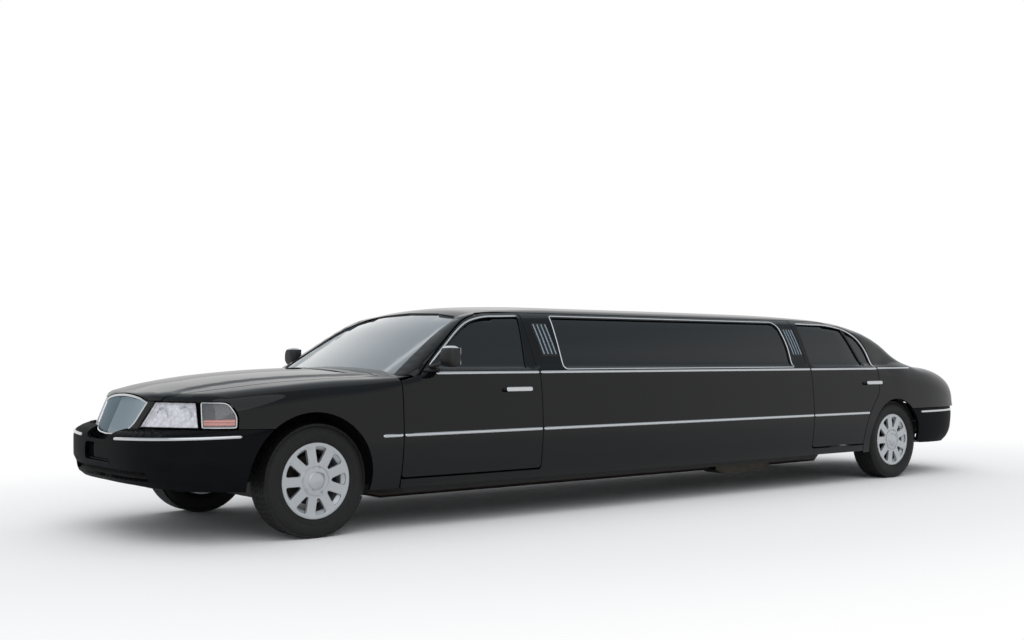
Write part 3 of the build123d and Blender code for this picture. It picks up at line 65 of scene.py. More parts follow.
def front(distance):
    """X of a station this far behind the front axle."""
    return FRONT_AXLE_X + distance


def rear(distance):
    """X of a station this far behind the rear axle."""
    return REAR_AXLE_X + distance


# ------------------------------------------------------------------ smooth tables
def smooth(table):
    """Curve through (place, value) rows that never overshoots a row."""
    places, values = np.array(table, float).T
    gaps, slopes = np.diff(places), np.diff(values) / np.diff(places)
    bends = np.zeros(len(places))
    same = slopes[:-1] * slopes[1:] > 0
    ahead, behind = 2 * gaps[1:] + gaps[:-1], gaps[1:] + 2 * gaps[:-1]
    with np.errstate(divide="ignore", invalid="ignore"):
        mean = (ahead + behind) / (ahead / slopes[:-1] + behind / slopes[1:])
    bends[1:-1][same] = mean[same]
    bends[0], bends[-1] = slopes[0], slopes[-1]

    def value(place):
        place = np.clip(place, places[0], places[-1])
        i = np.clip(np.searchsorted(places, place) - 1, 0, len(gaps) - 1)
        t = (place - places[i]) / gaps[i]
        flat = (1 + 2 * t) * (1 - t) ** 2 * values[i] + t * t * (3 - 2 * t) * values[i + 1]
        return flat + gaps[i] * t * (1 - t) * ((1 - t) * bends[i] - t * bends[i + 1])

    return value


def ease(low, high, value):
    """0 below low, 1 above high, smooth between."""
    t = np.clip((value - low) / (high - low), 0, 1)
    return t * t * (3 - 2 * t)


def soft_max(a, b, size):
    """The larger of two distances, rounded where they meet."""
    meet = np.maximum(size - np.abs(a - b), 0) / size
    return np.maximum(a, b) + meet * meet * size / 4


def soft_min(a, b, size):
    """The smaller of two distances, filleted where they meet."""
    return -soft_max(-a, -b, size)


# ------------------------------------------------------------------ the body's surface, as signed distances
# Side of the lower body: height, tuck from the widest point.
side_tuck = smooth(
    (
        (0.20, 0.090), (0.27, 0.058), (0.33, 0.038), (0.45, 0.013), (0.61, 0.0), (0.76, 0.006), (0.93, 0.022),
        (1.0, 0.036), (1.2, 0.09)
    )
)
# Reach of the nose ahead of the front axle, by height.
nose_reach = smooth(((0.60, 0.990), (0.70, 0.985), (0.78, 0.977), (0.84, 0.960), (0.88, 0.945), (1.0, 0.90)))
# Reach of the tail behind the rear axle, by height.
tail_reach = smooth(((0.40, 1.385), (0.62, 1.402), (0.80, 1.392), (0.94, 1.365), (1.05, 1.30)))
# Centre line of hood, cowl, shoulder and deck: station, height.
deck_line = smooth(
    (
        (front(-1.10), 0.800),
        (front(-0.95), 0.858),
        (front(-0.862), 0.884),
        (front(-0.698), 0.918),
        (front(-0.53), 0.950),
        (front(-0.228), 0.992),
        (front(0.105), 1.018),
        (front(0.455), 1.032),
        (front(0.62), 1.042),
        (front(0.95), 1.094),
        (rear(-0.60), 1.098),
        (rear(-0.10), 1.084),
        (rear(0.402), 1.064),
        (rear(0.762), 1.042),
        (rear(1.10), 1.010),
        (rear(1.30), 0.975),
        (rear(1.50), 0.915),
    )
)
# Rounding between the side and the top, by station.
shoulder_size = smooth(
    (
        (front(-1.0), 0.07),
        (front(-0.5), 0.115),
        (front(0.2), 0.105),
        (front(0.60), 0.055),
        (front(0.90), 0.020),
        (rear(-0.50), 0.020),
        (rear(-0.1), 0.08),
        (rear(0.5), 0.15),
        (rear(1.1), 0.24),
        (rear(1.4), 0.20),
    )
)
# Side windows and roof rail: height, tuck; and the taper in plan by station.
glass_tuck = smooth(
    ((0.90, 0.030), (1.0, 0.052), (1.06, 0.083), (1.22, 0.156), (1.36, 0.228), (1.42, 0.262), (1.50, 0.33))
)
cabin_taper = smooth(
    (
        (front(0.3), 0.030), (front(1.2), 0.0), (rear(-0.70), 0.0), (rear(-0.34), 0.014), (rear(-0.04), 0.050),
        (rear(0.30), 0.104), (rear(0.56), 0.150)
    )
)
# Centre line of windshield, roof and back glass.
roof_line = smooth(
    (
        (front(0.0), 0.645),
        (front(0.437), 0.922),
        (front(0.87), 1.197),
        (front(1.19), 1.388),
        (front(1.30), 1.437),
        (front(1.42), 1.466),
        (front(1.70), 1.488),
        (front(2.2), 1.4985),
        (front(3.4), 1.4985),
        (rear(-1.44), 1.494),
        (rear(-0.838), 1.478),
        (rear(-0.575), 1.457),
        (rear(-0.274), 1.406),
        (rear(-0.108), 1.363),
        (rear(0.042), 1.303),
        (rear(0.162), 1.230),
        (rear(0.312), 1.120),
        (rear(0.56), 0.925),
        (rear(0.90), 0.66),
    )
)
NOSE_POWER = 2.8
TAIL_POWER = 4.0
BUMPER_POWER = 3.3


def oval(x, y, half, reach_front, reach_rear, power_front, power_rear):
    """Distance outside the body's plan: straight sides that turn round both ends."""
    ahead = np.maximum(FRONT_AXLE_X - x, 0) / reach_front
    behind = np.maximum(x - REAR_AXLE_X, 0) / reach_rear
    power = np.where(behind > 0, power_rear, power_front)
    share = ((np.abs(y) / half) ** power + (ahead + behind) ** power) ** (1 / power)
    return (share - 1) * half


def lower(p):
    """Lower body: sides, nose, tail, hood and deck."""
    x, y, z = p.T
    half = HALF_WIDTH - side_tuck(z) - 0.02 * np.maximum(x - REAR_AXLE_X, 0) ** 2
    side = oval(x, y, half, nose_reach(z), tail_reach(z), NOSE_POWER, TAIL_POWER)
    line = deck_line(x)
    crown = y * y / (2 * (line - LOWER_CROWN_AXIS_Z))
    ridge = 0.010 * ease(0.50, 0.42, np.abs(y) - 0.25 * ease(front(-0.9), front(0.5), x))
    ridge = ridge * ease(front(-0.9), front(-0.6), x) * ease(front(0.6), front(0.4), x)
    top = (z - line + crown - ridge) * 0.97
    lean = front(-0.978) + (z - 0.64) * 0.44 + np.minimum(y * y, 1.1) / 2.6
    nose = (lean - x) * 0.9
    shape = soft_max(top, side, shoulder_size(x))
    return soft_max(shape, nose, 0.03)


def upper(p):
    """Cabin: side windows, roof, windshield and back glass."""
    x, y, z = p.T
    side = (np.abs(y) - HALF_WIDTH + glass_tuck(z) + cabin_taper(x)) * 0.9
    line = roof_line(x)
    crown = y * y / (2 * (line - UPPER_CROWN_AXIS_Z))
    pillar = 0.016 * ease(0.60, 0.72, np.abs(y)) * ease(front(1.5), front(1.2), x)
    steep = 1 - 0.16 * ease(front(1.5), front(1.2), x) - 0.16 * ease(rear(-0.3), rear(0.1), x)
    top = (z - line + crown - pillar) * steep
    return soft_max(top, side, 0.055 + 0.035 * ease(front(1.3), front(1.8), x))


def body(p):
    """Whole body."""
    blend = 0.02 + 0.10 * ease(rear(-0.3), rear(0.2), p[:, 0])
    return soft_min(lower(p), upper(p), blend)


# Front bumper: height, tuck at the side and reach ahead of the axle.
bumper_tuck = smooth(
    ((0.30, 0.045), (0.36, 0.030), (0.43, 0.013), (0.50, 0.005), (0.64, 0.005), (0.68, 0.014), (0.72, 0.05))
)
bumper_reach = smooth((
    (0.30, 0.92), (0.345, 0.965), (0.385, 1.008), (0.440, 1.016), (0.458, 1.020), (0.474, 1.034), (0.60, 1.036),
    (0.635, 1.026), (0.652, 1.005), (0.668, 0.970), (0.684, 0.918), (0.72, 0.80)
))
# Rear bumper.
tail_tuck = smooth(
    ((0.25, 0.085), (0.30, 0.060), (0.36, 0.036), (0.42, 0.020), (0.56, 0.004), (0.634, 0.008), (0.70, 0.03))
)
tail_bumper_reach = smooth(
    ((0.25, 1.25), (0.30, 1.33), (0.345, 1.395), (0.43, 1.431), (0.575, 1.434), (0.634, 1.420), (0.70, 1.39))
)


def front_bumper_skin(p):
    """Front bumper cover."""
    x, y, z = p.T
    return oval(x, y, HALF_WIDTH - bumper_tuck(z), bumper_reach(z), 1.4, BUMPER_POWER, BUMPER_POWER)


def rear_bumper_skin(p):
    """Rear bumper cover."""
    x, y, z = p.T
    return oval(x, y, HALF_WIDTH - tail_tuck(z), 1.0, tail_bumper_reach(z), BUMPER_POWER, BUMPER_POWER)


def sunk(skin, depth):
    """The same surface, this much further in."""
    return lambda p: skin(p) + depth


# ------------------------------------------------------------------ charts: flat coordinates on a surface
BACK, RIGHT, UP = (1, 0, 0), (0, 1, 0), (0, 0, 1)
AHEAD, LEFT, DOWN = (-1, 0, 0), (0, -1, 0), (0, 0, -1)
RAY_START = 6.0
RAY_STEPS = 60
RAY_SHARE = 0.95


class Flat:
    """Straight view of a surface along one direction."""

    def __init__(self, across, up, toward):
        self.across, self.up, self.toward = (np.array(v, float) for v in (across, up, toward))

    def uv(self, p):
        return np.stack([p @ self.across, p @ self.up], 1)

    def rays(self, uv):
        start = uv[:, :1] * self.across + uv[:, 1:] * self.up - self.toward * RAY_START
        return start, np.broadcast_to(self.toward, start.shape)


class Fan:
    """View from all round a line, which unrolls what wraps about it."""

    def __init__(self, along, zero, quarter, centre, scale=0.5, reach=2.2):
        self.along, self.zero, self.quarter, self.centre = (
            np.array(v, float) for v in (along, zero, quarter, centre)
        )
        self.scale, self.reach = scale, reach

    def uv(self, p):
        q = p - self.centre
        return np.stack([q @ self.along, self.scale * np.arctan2(q @ self.quarter, q @ self.zero)], 1)

    def rays(self, uv):
        angle = uv[:, 1:] / self.scale
        out = np.cos(angle) * self.zero + np.sin(angle) * self.quarter
        return self.centre + uv[:, :1] * self.along + out * self.reach, -out


SIDE = Flat(BACK, UP, RIGHT)
TOP = Flat(BACK, RIGHT, DOWN)
NOSE = Flat(LEFT, UP, BACK)
NOSE_LEFT = Flat(RIGHT, UP, BACK)
TAIL = Flat(RIGHT, UP, AHEAD)


def cast(skin, chart, uv):
    """Points where a chart's rays meet a surface."""
    p, way = chart.rays(np.asarray(uv, float))
    travelled = np.zeros(len(p))
    for _ in range(RAY_STEPS):
        travelled += skin(p + way * travelled[:, None]) * RAY_SHARE
    return p + way * travelled[:, None]


def normals_of(skin, p):
    """Outward normals of a surface."""
    step = 2e-4
    grad = np.stack([skin(p + step * e) - skin(p - step * e) for e in np.eye(3)], 1)
    return grad / np.linalg.norm(grad, axis=1, keepdims=True)


def unit(v):
    return v / np.maximum(np.linalg.norm(v, axis=-1, keepdims=True), 1e-12)


# ------------------------------------------------------------------ outlines
def rounded(points, closed=True):
    """Polyline through (u, v) or (u, v, radius) rows with its corners turned into curves."""
    rows = [(*row[:2], row[2] if len(row) > 2 else 0.0) for row in points]
    count = len(rows)
    out = []
    for i, (u, v, radius) in enumerate(rows):
        here = np.array((u, v))
        if radius == 0 or (not closed and i in (0, count - 1)):
            out.append(here)
            continue
        before, after = np.array(rows[i - 1][:2]) - here, np.array(rows[(i + 1) % count][:2]) - here
        run = min(radius, 0.48 * np.linalg.norm(before), 0.48 * np.linalg.norm(after))
        first, last = here + unit(before) * run, here + unit(after) * run
        steps = max(3, int(run / 0.012))
        for t in np.linspace(0, 1, steps + 1):
            out.append((1 - t) ** 2 * first + 2 * t * (1 - t) * here + t * t * last)
    return np.array(out)


def spaced(points, closed=True, gap=0.018):
    """The same line with points no further apart than the gap."""
    out = []
    count = len(points)
    for i in range(count if closed else count - 1):
        a, b = points[i], points[(i + 1) % count]
        length = np.linalg.norm(b - a)
        if length < 1e-5:
            continue
        for t in np.arange(max(1, int(np.ceil(length / gap)))) / max(1, int(np.ceil(length / gap))):
            out.append(a + (b - a) * t)
    if not closed:
        out.append(points[-1])
    return np.array(out)


def flipped(p):
    """Mirror image of points across the car's middle."""
    return p * np.array((1, -1, 1))


def inside(uv, loops):
    """Which points lie within the first loop and outside the others."""
    hit = np.zeros(len(uv), bool)
    u, v = uv[:, :1], uv[:, 1:]
    for loop in loops:
        a, b = loop, np.roll(loop, -1, 0)
        cross = (a[:, 1] > v) != (b[:, 1] > v)
        with np.errstate(divide="ignore", invalid="ignore"):
            where = a[:, 0] + (v - a[:, 1]) * (b[:, 0] - a[:, 0]) / (b[:, 1] - a[:, 1])
        hit ^= (np.sum(cross & (u < where), 1) % 2).astype(bool)
    return hit


# ------------------------------------------------------------------ shapes
class Shape:
    """Mesh in the making: points, faces, a normal for each point and a material number for each face."""

    def __init__(self, verts, faces, normals=None, slots=0):
        self.verts = np.asarray(verts, float).reshape(-1, 3)
        self.faces = [tuple(int(i) for i in f) for f in faces]
        self.slots = [slots] * len(self.faces) if np.isscalar(slots) else list(slots)
        self.normals = self.smooth_normals() if normals is None else np.asarray(normals, float)

    def smooth_normals(self):
        total = np.zeros_like(self.verts)
        for face in self.faces:
            ring = self.verts[list(face)]
            normal = sum(np.cross(ring[i] - ring[0], ring[i + 1] - ring[0]) for i in range(1, len(face) - 1))
            for i in face:
                total[i] += normal
        return unit(total)

    def __add__(self, other):
        base = len(self.verts)
        faces = self.faces + [tuple(i + base for i in f) for f in other.faces]
        verts, normals = np.vstack([self.verts, other.verts]), np.vstack([self.normals, other.normals])
        return Shape(verts, faces, normals, self.slots + other.slots)

    def mirrored(self):
        faces = [f[::-1] for f in self.faces]
        return Shape(flipped(self.verts), faces, flipped(self.normals), self.slots)

    def moved(self, offset):
        return Shape(self.verts + np.array(offset), self.faces, self.normals, self.slots)

    def both(self):
        return self + self.mirrored()

    def painted(self, slot):
        return Shape(self.verts, self.faces, self.normals, slot)


def joined(shapes):
    total = shapes[0]
    for shape in shapes[1:]:
        total = total + shape
    return total


EDGE_ANGLES = np.radians((0, 30, 60, 90))


def panel(skin, chart, loops, wall, edge=0.003, step=0.030, inward=None, lining=0):
    """Sheet cut out of a surface by closed outlines, with rounded edges, a thickness and a lining."""
    flat_loops = [chart.uv(loop) for loop in loops]
    uv, depth, tilt, outward, lines, rims = [], [], [], [], [], []
    for loop in loops:
        normal = normals_of(skin, loop)
        along = np.roll(loop, -1, 0) - np.roll(loop, 1, 0)
        toward = unit(np.cross(normal, along))
        if np.mean(inside(chart.uv(loop + toward * 0.004), flat_loops)) < 0.5:
            toward = -toward
        for angle in EDGE_ANGLES if edge > 0.001 else EDGE_ANGLES[[0, 3]]:
            base = sum(len(part) for part in uv)
            ring = chart.uv(loop + toward * edge * (1 - cos(angle)))
            if angle == 0:
                rims.append((base, len(loop)))
            uv.append(ring)
            depth.append(np.full(len(loop), edge * (1 - sin(angle))))
            tilt.append(np.full(len(loop), cos(angle)))
            outward.append(-toward)
            lines += [(base + i, base + (i + 1) % len(loop)) for i in range(len(loop))]
    rim_uv = np.vstack(uv)
    low, high = rim_uv.min(0), rim_uv.max(0)
    u, v = np.meshgrid(np.arange(low[0], high[0], step), np.arange(low[1], high[1], step))
    grid = np.stack([u.ravel(), v.ravel()], 1)
    grid[:, 0] += np.tile(np.array([[0.0], [step / 2]]), (len(u) // 2 + 1, u.shape[1]))[: len(u)].ravel()
    grid = grid[inside(grid, flat_loops)]
    outline = np.vstack(flat_loops)
    near = np.array([np.min(np.sum((outline - g) ** 2, 1)) for g in grid]) if len(grid) else np.zeros(0)
    grid = grid[near > (0.55 * step) ** 2]
    all_uv = np.vstack([rim_uv, grid])
    found = delaunay_2d_cdt([Vector(q) for q in all_uv], lines, [], 0, 1e-7)
    out_uv = np.array([tuple(q) for q in found[0]])
    source = np.array([ids[0] if ids else -1 for ids in found[3]])
    depth = np.concatenate([*depth, np.zeros(len(grid)), [0.0]])[source]
    tilt = np.concatenate([*tilt, np.zeros(len(grid)), [0.0]])[source]
    outward = np.vstack([*outward, np.zeros((len(grid) + 1, 3))])[source]
    faces = np.array([f for f in found[2] if len(f) == 3])
    inner_loops = [all_uv[a:a + n] for a, n in rims]
    faces = faces[inside(out_uv[faces].mean(1), inner_loops)]
    place = cast(skin, chart, out_uv)
    normal = normals_of(skin, place)
    facing = np.cross(place[faces[:, 1]] - place[faces[:, 0]], place[faces[:, 2]] - place[faces[:, 0]])
    wrong = np.sum(facing * normal[faces[:, 0]], 1) < 0
    faces[wrong] = faces[wrong][:, ::-1]
    outer = place - normal * depth[:, None]
    outer_normal = unit(normal * np.sqrt(1 - tilt ** 2)[:, None] + outward * tilt[:, None])
    thick = wall(place) if callable(wall) else np.full(len(place), wall)
    way = -normal if inward is None else np.broadcast_to(np.array(inward, float), place.shape)
    inner = place + way * thick[:, None]
    count = len(place)
    where = {int(s): i for i, s in enumerate(source) if s >= 0}
    directed = {}
    for a, b, c in faces:
        directed[(a, b)] = directed[(b, c)] = directed[(c, a)] = True
    walls = []
    for base, length in rims:
        ring = [where.get(base + i) for i in range(length)]
        for i in range(length):
            a, b = ring[i], ring[(i + 1) % length]
            if a is None or b is None or a == b:
                continue
            if (a, b) not in directed:
                a, b = b, a
            walls.append((b, a, a + count, b + count))
    lined = [tuple(f[::-1] + count) for f in faces]
    all_faces = [tuple(f) for f in faces] + walls + lined
    slots = [0] * (len(faces) + len(walls)) + [lining] * len(lined)
    return Shape(np.vstack([outer, inner]), all_faces, np.vstack([outer_normal, way]), slots)


def woven(rings, spots, rings_close=True, spots_close=True):
    """Faces between neighbouring rings of points that are listed ring by ring."""
    faces = []
    for i in range(rings if rings_close else rings - 1):
        j = (i + 1) % rings
        for s in range(spots if spots_close else spots - 1):
            t = (s + 1) % spots
            faces.append((i * spots + s, i * spots + t, j * spots + t, j * spots + s))
    return faces


def band(outer, inner, slot=0):
    """Strip of faces between two closed loops with the same count."""
    return Shape(np.vstack([outer, inner]), woven(2, len(outer), False), None, slot)


def sweep(path, up, section, closed=True, taper=0):
    """Bar along a path: the section's (across, up) pairs stand on the path's normals."""
    path = np.asarray(path, float)
    along = np.roll(path, -1, 0) - np.roll(path, 1, 0)
    if not closed:
        along[0], along[-1] = path[1] - path[0], path[-1] - path[-2]
    up = unit(np.asarray(up, float) * np.ones_like(path))
    across = unit(np.cross(up, along))
    section = np.array(section, float)
    size = np.ones(len(path))
    if taper:
        reach = np.linalg.norm(path - path[0], axis=1), np.linalg.norm(path - path[-1], axis=1)
        size = np.sqrt(np.clip(np.minimum(*reach) / taper, 0.04, 1))
    rings = [path + across * (a * size)[:, None] + up * (b * size)[:, None] for a, b in section]
    verts = np.stack(rings, 1).reshape(-1, 3)
    n, k = len(path), len(section)
    faces = woven(n, k, closed)
    if not closed:
        faces.append(tuple(range(k))[::-1])
        faces.append(tuple((n - 1) * k + s for s in range(k)))
    return outward_faces(Shape(verts, faces))


def outward_faces(shape):
    """The same closed shape with its faces turned outwards."""
    volume = 0.0
    for face in shape.faces:
        ring = shape.verts[list(face)]
        for i in range(1, len(face) - 1):
            volume += np.dot(ring[0], np.cross(ring[i], ring[i + 1]))
    if volume >= 0:
        return shape
    return Shape(shape.verts, [f[::-1] for f in shape.faces], None, shape.slots)


def round_section(width, height, base=0.0, count=7):
    """Half-round moulding section that stands on its base."""
    arc = [(width / 2 * cos(a), base + height * sin(a)) for a in np.linspace(0, pi, count)]
    return [(width / 2, base - 0.004)] + arc + [(-width / 2, base - 0.004)]


def lathe(profile, count=96, closed=True):
    """Solid of revolution about the Y axis from (radius, y) pairs."""
    verts = []
    for n in range(count):
        a = 2 * pi * n / count
        verts += [(r * cos(a), y, r * sin(a)) for r, y in profile]
    return outward_faces(Shape(verts, woven(count, len(profile), True, closed)))


def rod(start, end, radius, count=20, bevel=0.0):
    """Round bar between two points."""
    start, end = np.array(start, float), np.array(end, float)
    way = unit(end - start)
    side = unit(np.cross(way, (0.3, 0.2, 1.0)))
    other = np.cross(way, side)
    length = np.linalg.norm(end - start)
    rows = ((0, radius), (length, radius))
    if bevel:
        rows = ((0, radius - bevel), (bevel, radius), (length - bevel, radius), (length, radius - bevel))
    verts = []
    for d, r in rows:
        for n in range(count):
            a = 2 * pi * n / count
            verts.append(start + way * d + side * r * cos(a) + other * r * sin(a))
    faces = woven(len(rows), count, False)
    faces.append(tuple(range(count))[::-1])
    faces.append(tuple((len(rows) - 1) * count + n for n in range(count)))
    return outward_faces(Shape(verts, faces))


def block(low, high, bevel=0.004):
    """Box with chamfered edges between two corners."""
    low, high = np.array(low, float), np.array(high, float)
    mesh = bmesh.new()
    bmesh.ops.create_cube(mesh, size=1)
    for v in mesh.verts:
        v.co = Vector((low + high) / 2 + np.array(v.co) * (high - low))
    bevel = min(bevel, 0.45 * float(np.min(high - low)))
    bmesh.ops.bevel(mesh, geom=mesh.edges[:], offset=bevel, segments=2, profile=0.5, affect="EDGES")
    mesh.verts.index_update()
    shape = Shape([tuple(v.co) for v in mesh.verts], [[v.index for v in f.verts] for f in mesh.faces])
    mesh.free()
    return shape


# ------------------------------------------------------------------ materials
SHADER = "Principled BSDF"


def linear(colour):
    """sRGB hex colour as linear RGBA."""
    parts = [int(colour[i:i + 2], 16) / 255 for i in (1, 3, 5)]
    return tuple(c / 12.92 if c <= 0.04045 else ((c + 0.055) / 1.055) ** 2.4 for c in parts) + (1.0,)


def node(tree, kind, settings=(), inputs=(), links=()):
    """Adds a node with its settings, input values and links from (node, output) pairs."""
    made = tree.nodes.new(kind)
    for name, value in dict(settings).items():
        setattr(made, name, value)
    for name, value in dict(inputs).items():
        made.inputs[name].default_value = value
    for name, (source, output) in dict(links).items():
        tree.links.new(source.outputs[output], made.inputs[name])
    return made


def grain(size_mm, detail=2.0, kind="Noise", output="Fac", settings=(), stretch=None, **inputs):
    """What a pattern is made of: the size of its grains in millimetres, its kind and its values."""
    if kind == "Noise":
        inputs = {"Detail": detail, **inputs}
    return size_mm, kind, output, settings, stretch, inputs


def cells(size_mm):
    """Rounded cells this many millimetres across."""
    return grain(size_mm, kind="Voronoi", output="Distance")


def finish(name, colours=(), rough=(), relief=(), coat=False, **values):
    """New material with values on its shader's own sockets.

    colours is a pattern and two hex colours, rough a pattern and two roughnesses, relief a pattern and its
    height in millimetres, which also raises the coat if asked.
    """
    made = bpy.data.materials.new(name)
    made.use_nodes = True
    tree = made.node_tree
    shader = tree.nodes[SHADER]
    for socket, value in values.items():
        shader.inputs[socket.replace("_", " ")].default_value = value

    def drawn(size_mm, kind, output, settings, stretch, inputs):
        """A pattern's node and output, on Object coordinates."""
        place = node(tree, "ShaderNodeTexCoord"), "Object"
        if stretch:
            place = node(tree, "ShaderNodeMapping", inputs={"Scale": stretch}, links={"Vector": place}), "Vector"
        scale = {"Scale": 1000 / size_mm, **inputs}
        return node(tree, "ShaderNodeTex" + kind, settings, scale, {"Vector": place}), output

    if colours:
        pattern, first, second = colours
        ends = {6: linear(first), 7: linear(second)}
        blend = node(tree, "ShaderNodeMix", {"data_type": "RGBA"}, ends, {0: drawn(*pattern)})
        tree.links.new(blend.outputs[2], shader.inputs["Base Color"])
    if rough:
        pattern, low, high = rough
        spread = node(tree, "ShaderNodeMapRange", (), {"To Min": low, "To Max": high}, {"Value": drawn(*pattern)})
        tree.links.new(spread.outputs["Result"], shader.inputs["Roughness"])
    if relief:
        pattern, height_mm = relief
        size = {"Strength": 1.0, "Distance": height_mm / 1000}
        bump = node(tree, "ShaderNodeBump", (), size, {"Height": drawn(*pattern)})
        for socket in ("Normal", "Coat Normal") if coat else ("Normal",):
            tree.links.new(bump.outputs["Normal"], shader.inputs[socket])
    return made


def moulded_plastic(name, low, high, rough, grain_mm=1.2, depth_mm=0.06):
    """Moulded plastic with a fine leather-like grain."""
    spread = (grain(10), rough - 0.06, rough + 0.06)
    return finish(name, (grain(60, 3), low, high), spread, (cells(grain_mm), depth_mm), Specular_IOR_Level=0.4)


def tinted_glass(name, tint, clear, passed=0.5, mirror=0.06):
    """Glass with a body tint: part of the light passes, and both faces mirror more at a slant."""
    made = finish(name, Base_Color=linear(tint), Roughness=0.02, Specular_IOR_Level=0.0)
    tree = made.node_tree
    place = node(tree, "ShaderNodeTexCoord"), "Object"
    swell = node(tree, "ShaderNodeTexNoise", (), {"Scale": 1000 / 260, "Detail": 1}, {"Vector": place}), "Fac"
    wave = node(tree, "ShaderNodeBump", (), {"Strength": 1.0, "Distance": 0.0001}, {"Height": swell}), "Normal"
    see = node(tree, "ShaderNodeBsdfTransparent", (), {"Color": linear(clear)}), "BSDF"
    face_values = {"Roughness": 0.02, "Color": (1, 1, 1, 1)}
    face = node(tree, "ShaderNodeBsdfGlossy", (), face_values, {"Normal": wave}), "BSDF"
    facing = node(tree, "ShaderNodeLayerWeight", (), {"Blend": 0.5}, {"Normal": wave}), "Facing"
    steep = node(tree, "ShaderNodeMath", {"operation": "POWER"}, {1: 5.0}, {0: facing}), "Value"
    slant = node(tree, "ShaderNodeMapRange", (), {"To Min": mirror, "To Max": 1.0}, {"Value": steep}), "Result"
    body_tint = tree.nodes[SHADER], "BSDF"
    inner = node(tree, "ShaderNodeMixShader", (), {0: 1 - passed}, {1: see, 2: body_tint}), "Shader"
    blend = node(tree, "ShaderNodeMixShader", (), (), {0: slant, 1: inner, 2: face})
    tree.links.new(blend.outputs["Shader"], tree.nodes["Material Output"].inputs["Surface"])
    return made


def lamp_plastic(name, low, high):
    """Tinted acrylic with moulded optic ribs behind its face, 8 mm apart."""
    bands = {"wave_type": "BANDS", "bands_direction": "Z"}
    ribs = grain(8 * 6.283, kind="Wave", settings=bands)
    return finish(name, (ribs, low, high), (), (ribs, 0.3), Roughness=0.12, Coat_Weight=1.0, Coat_Roughness=0.02)


# Sprayed and clear-coated enamel: deep black, with a faint orange peel.
PAINT = finish(
    "clear_coated_black_enamel", (grain(140, 3), "#050607", "#0a0b0d"), (), (grain(5, 1), 0.010), True,
    Roughness=0.40, Specular_IOR_Level=0.0, Coat_Weight=0.62, Coat_Roughness=0.03, Coat_IOR=1.45,
)
# Sprayed flexible bumper skin, a shade softer than the steel panels.
BUMPER = finish(
    "painted_flexible_polyurethane", (grain(120, 3), "#090a0c", "#0f1013"), (), (grain(4, 1), 0.012), True,
    Roughness=0.42, Specular_IOR_Level=0.0, Coat_Weight=0.10, Coat_Roughness=0.05, Coat_IOR=1.5,
)
# Chromium-plated zinc: mirror bright with a faint wave from the casting.
CHROME = finish(
    "chromium_plated_zinc", (), (grain(30, 3), 0.05, 0.12), (grain(12, 1), 0.01),
    Metallic=1.0, Base_Color=linear("#bfc1c3"),
)
# Silver-painted cast aluminium under a clear coat: fine metal flake, soft gloss.
SILVER = finish(
    "silver_painted_cast_aluminium", (grain(3), "#a4a8ab", "#b9bdc0"), (grain(20), 0.34, 0.44),
    (grain(1.2, 1), 0.01), Metallic=0.55, Coat_Weight=0.6, Coat_Roughness=0.12,
)
# Vulcanised black rubber: matt, faintly grey where it has been dressed.
RUBBER = finish(
    "vulcanised_tyre_rubber", (grain(35, 4, Roughness=0.6), "#0e0e0e", "#191919"), (grain(15, 3), 0.62, 0.80),
    (grain(1.5), 0.05), Specular_IOR_Level=0.35,
)
# Extruded rubber seal: dull black with a slight sheen.
SEAL = finish(
    "extruded_epdm_rubber", (grain(20), "#0a0a0b", "#121213"), (grain(8), 0.45, 0.6), Specular_IOR_Level=0.4
)
TRIM = moulded_plastic("grained_dark_polypropylene", "#0f0f10", "#1a1a1c", 0.55)
LINER = moulded_plastic("coarse_black_polyethylene", "#0a0a0a", "#151515", 0.75, 4, 0.3)
HEADLINER = moulded_plastic("woven_grey_headliner", "#8d8b88", "#a09e9a", 0.9, 2, 0.1)
CLEAR_GLASS = tinted_glass("green_tinted_laminated_glass", "#5d6b74", "#9fb0ae", 0.45, 0.17)
DARK_GLASS = tinted_glass("smoke_tinted_privacy_glass", "#101113", "#3a3d40", 0.5, 0.05)
# Top-grain upholstery leather: pebbled, with a soft sheen on its high spots. The real pebble is about 1 mm:
# drawn at 3 mm so that it shows.
LEATHER = finish(
    "pebbled_black_leather", (grain(90, 3), "#121213", "#1d1d1f"), (cells(3), 0.38, 0.6), (cells(3), 0.25),
    Specular_IOR_Level=0.45, Coat_Weight=0.15, Coat_Roughness=0.3,
)
# Cut-pile nylon carpet: dark, with a tufted surface.
CARPET = finish(
    "cut_pile_nylon_carpet", (grain(6, 3), "#0f0f11", "#26262a"), (), (grain(4), 1.2),
    Roughness=0.95, Sheen_Weight=0.4, Sheen_Roughness=0.5,
)
# Sand-cast iron: dark grey, grainy, dull.
IRON = finish(
    "sand_cast_iron", (grain(25, 4), "#2b2a29", "#4a4744"), (grain(8, 3), 0.5, 0.75), (grain(2, 3), 0.3),
    Metallic=0.7,
)
# Dipped chassis black over pressed steel: satin, a little uneven.
CHASSIS = finish(
    "dipped_chassis_black", (grain(60, 4), "#0d0d0d", "#1c1b1a"), (grain(20, 3), 0.45, 0.7), (grain(6, 3), 0.15),
    Specular_IOR_Level=0.4,
)
# Drawn stainless pipe that heat has dulled and browned.
STEEL = finish(
    "heat_dulled_stainless_steel", (grain(90, 4), "#2b2723", "#4a4641"), (grain(15, 3), 0.3, 0.5), Metallic=1.0
)
# Dark stained walnut under lacquer: long grain and a deep shine.
WALNUT = finish(
    "lacquered_dark_walnut", (grain(1000 / 3, 6.0, stretch=(4.0, 60.0, 60.0)), "#1b0f09", "#3d2417"),
    Roughness=0.3, Coat_Weight=0.8, Coat_Roughness=0.05,
)
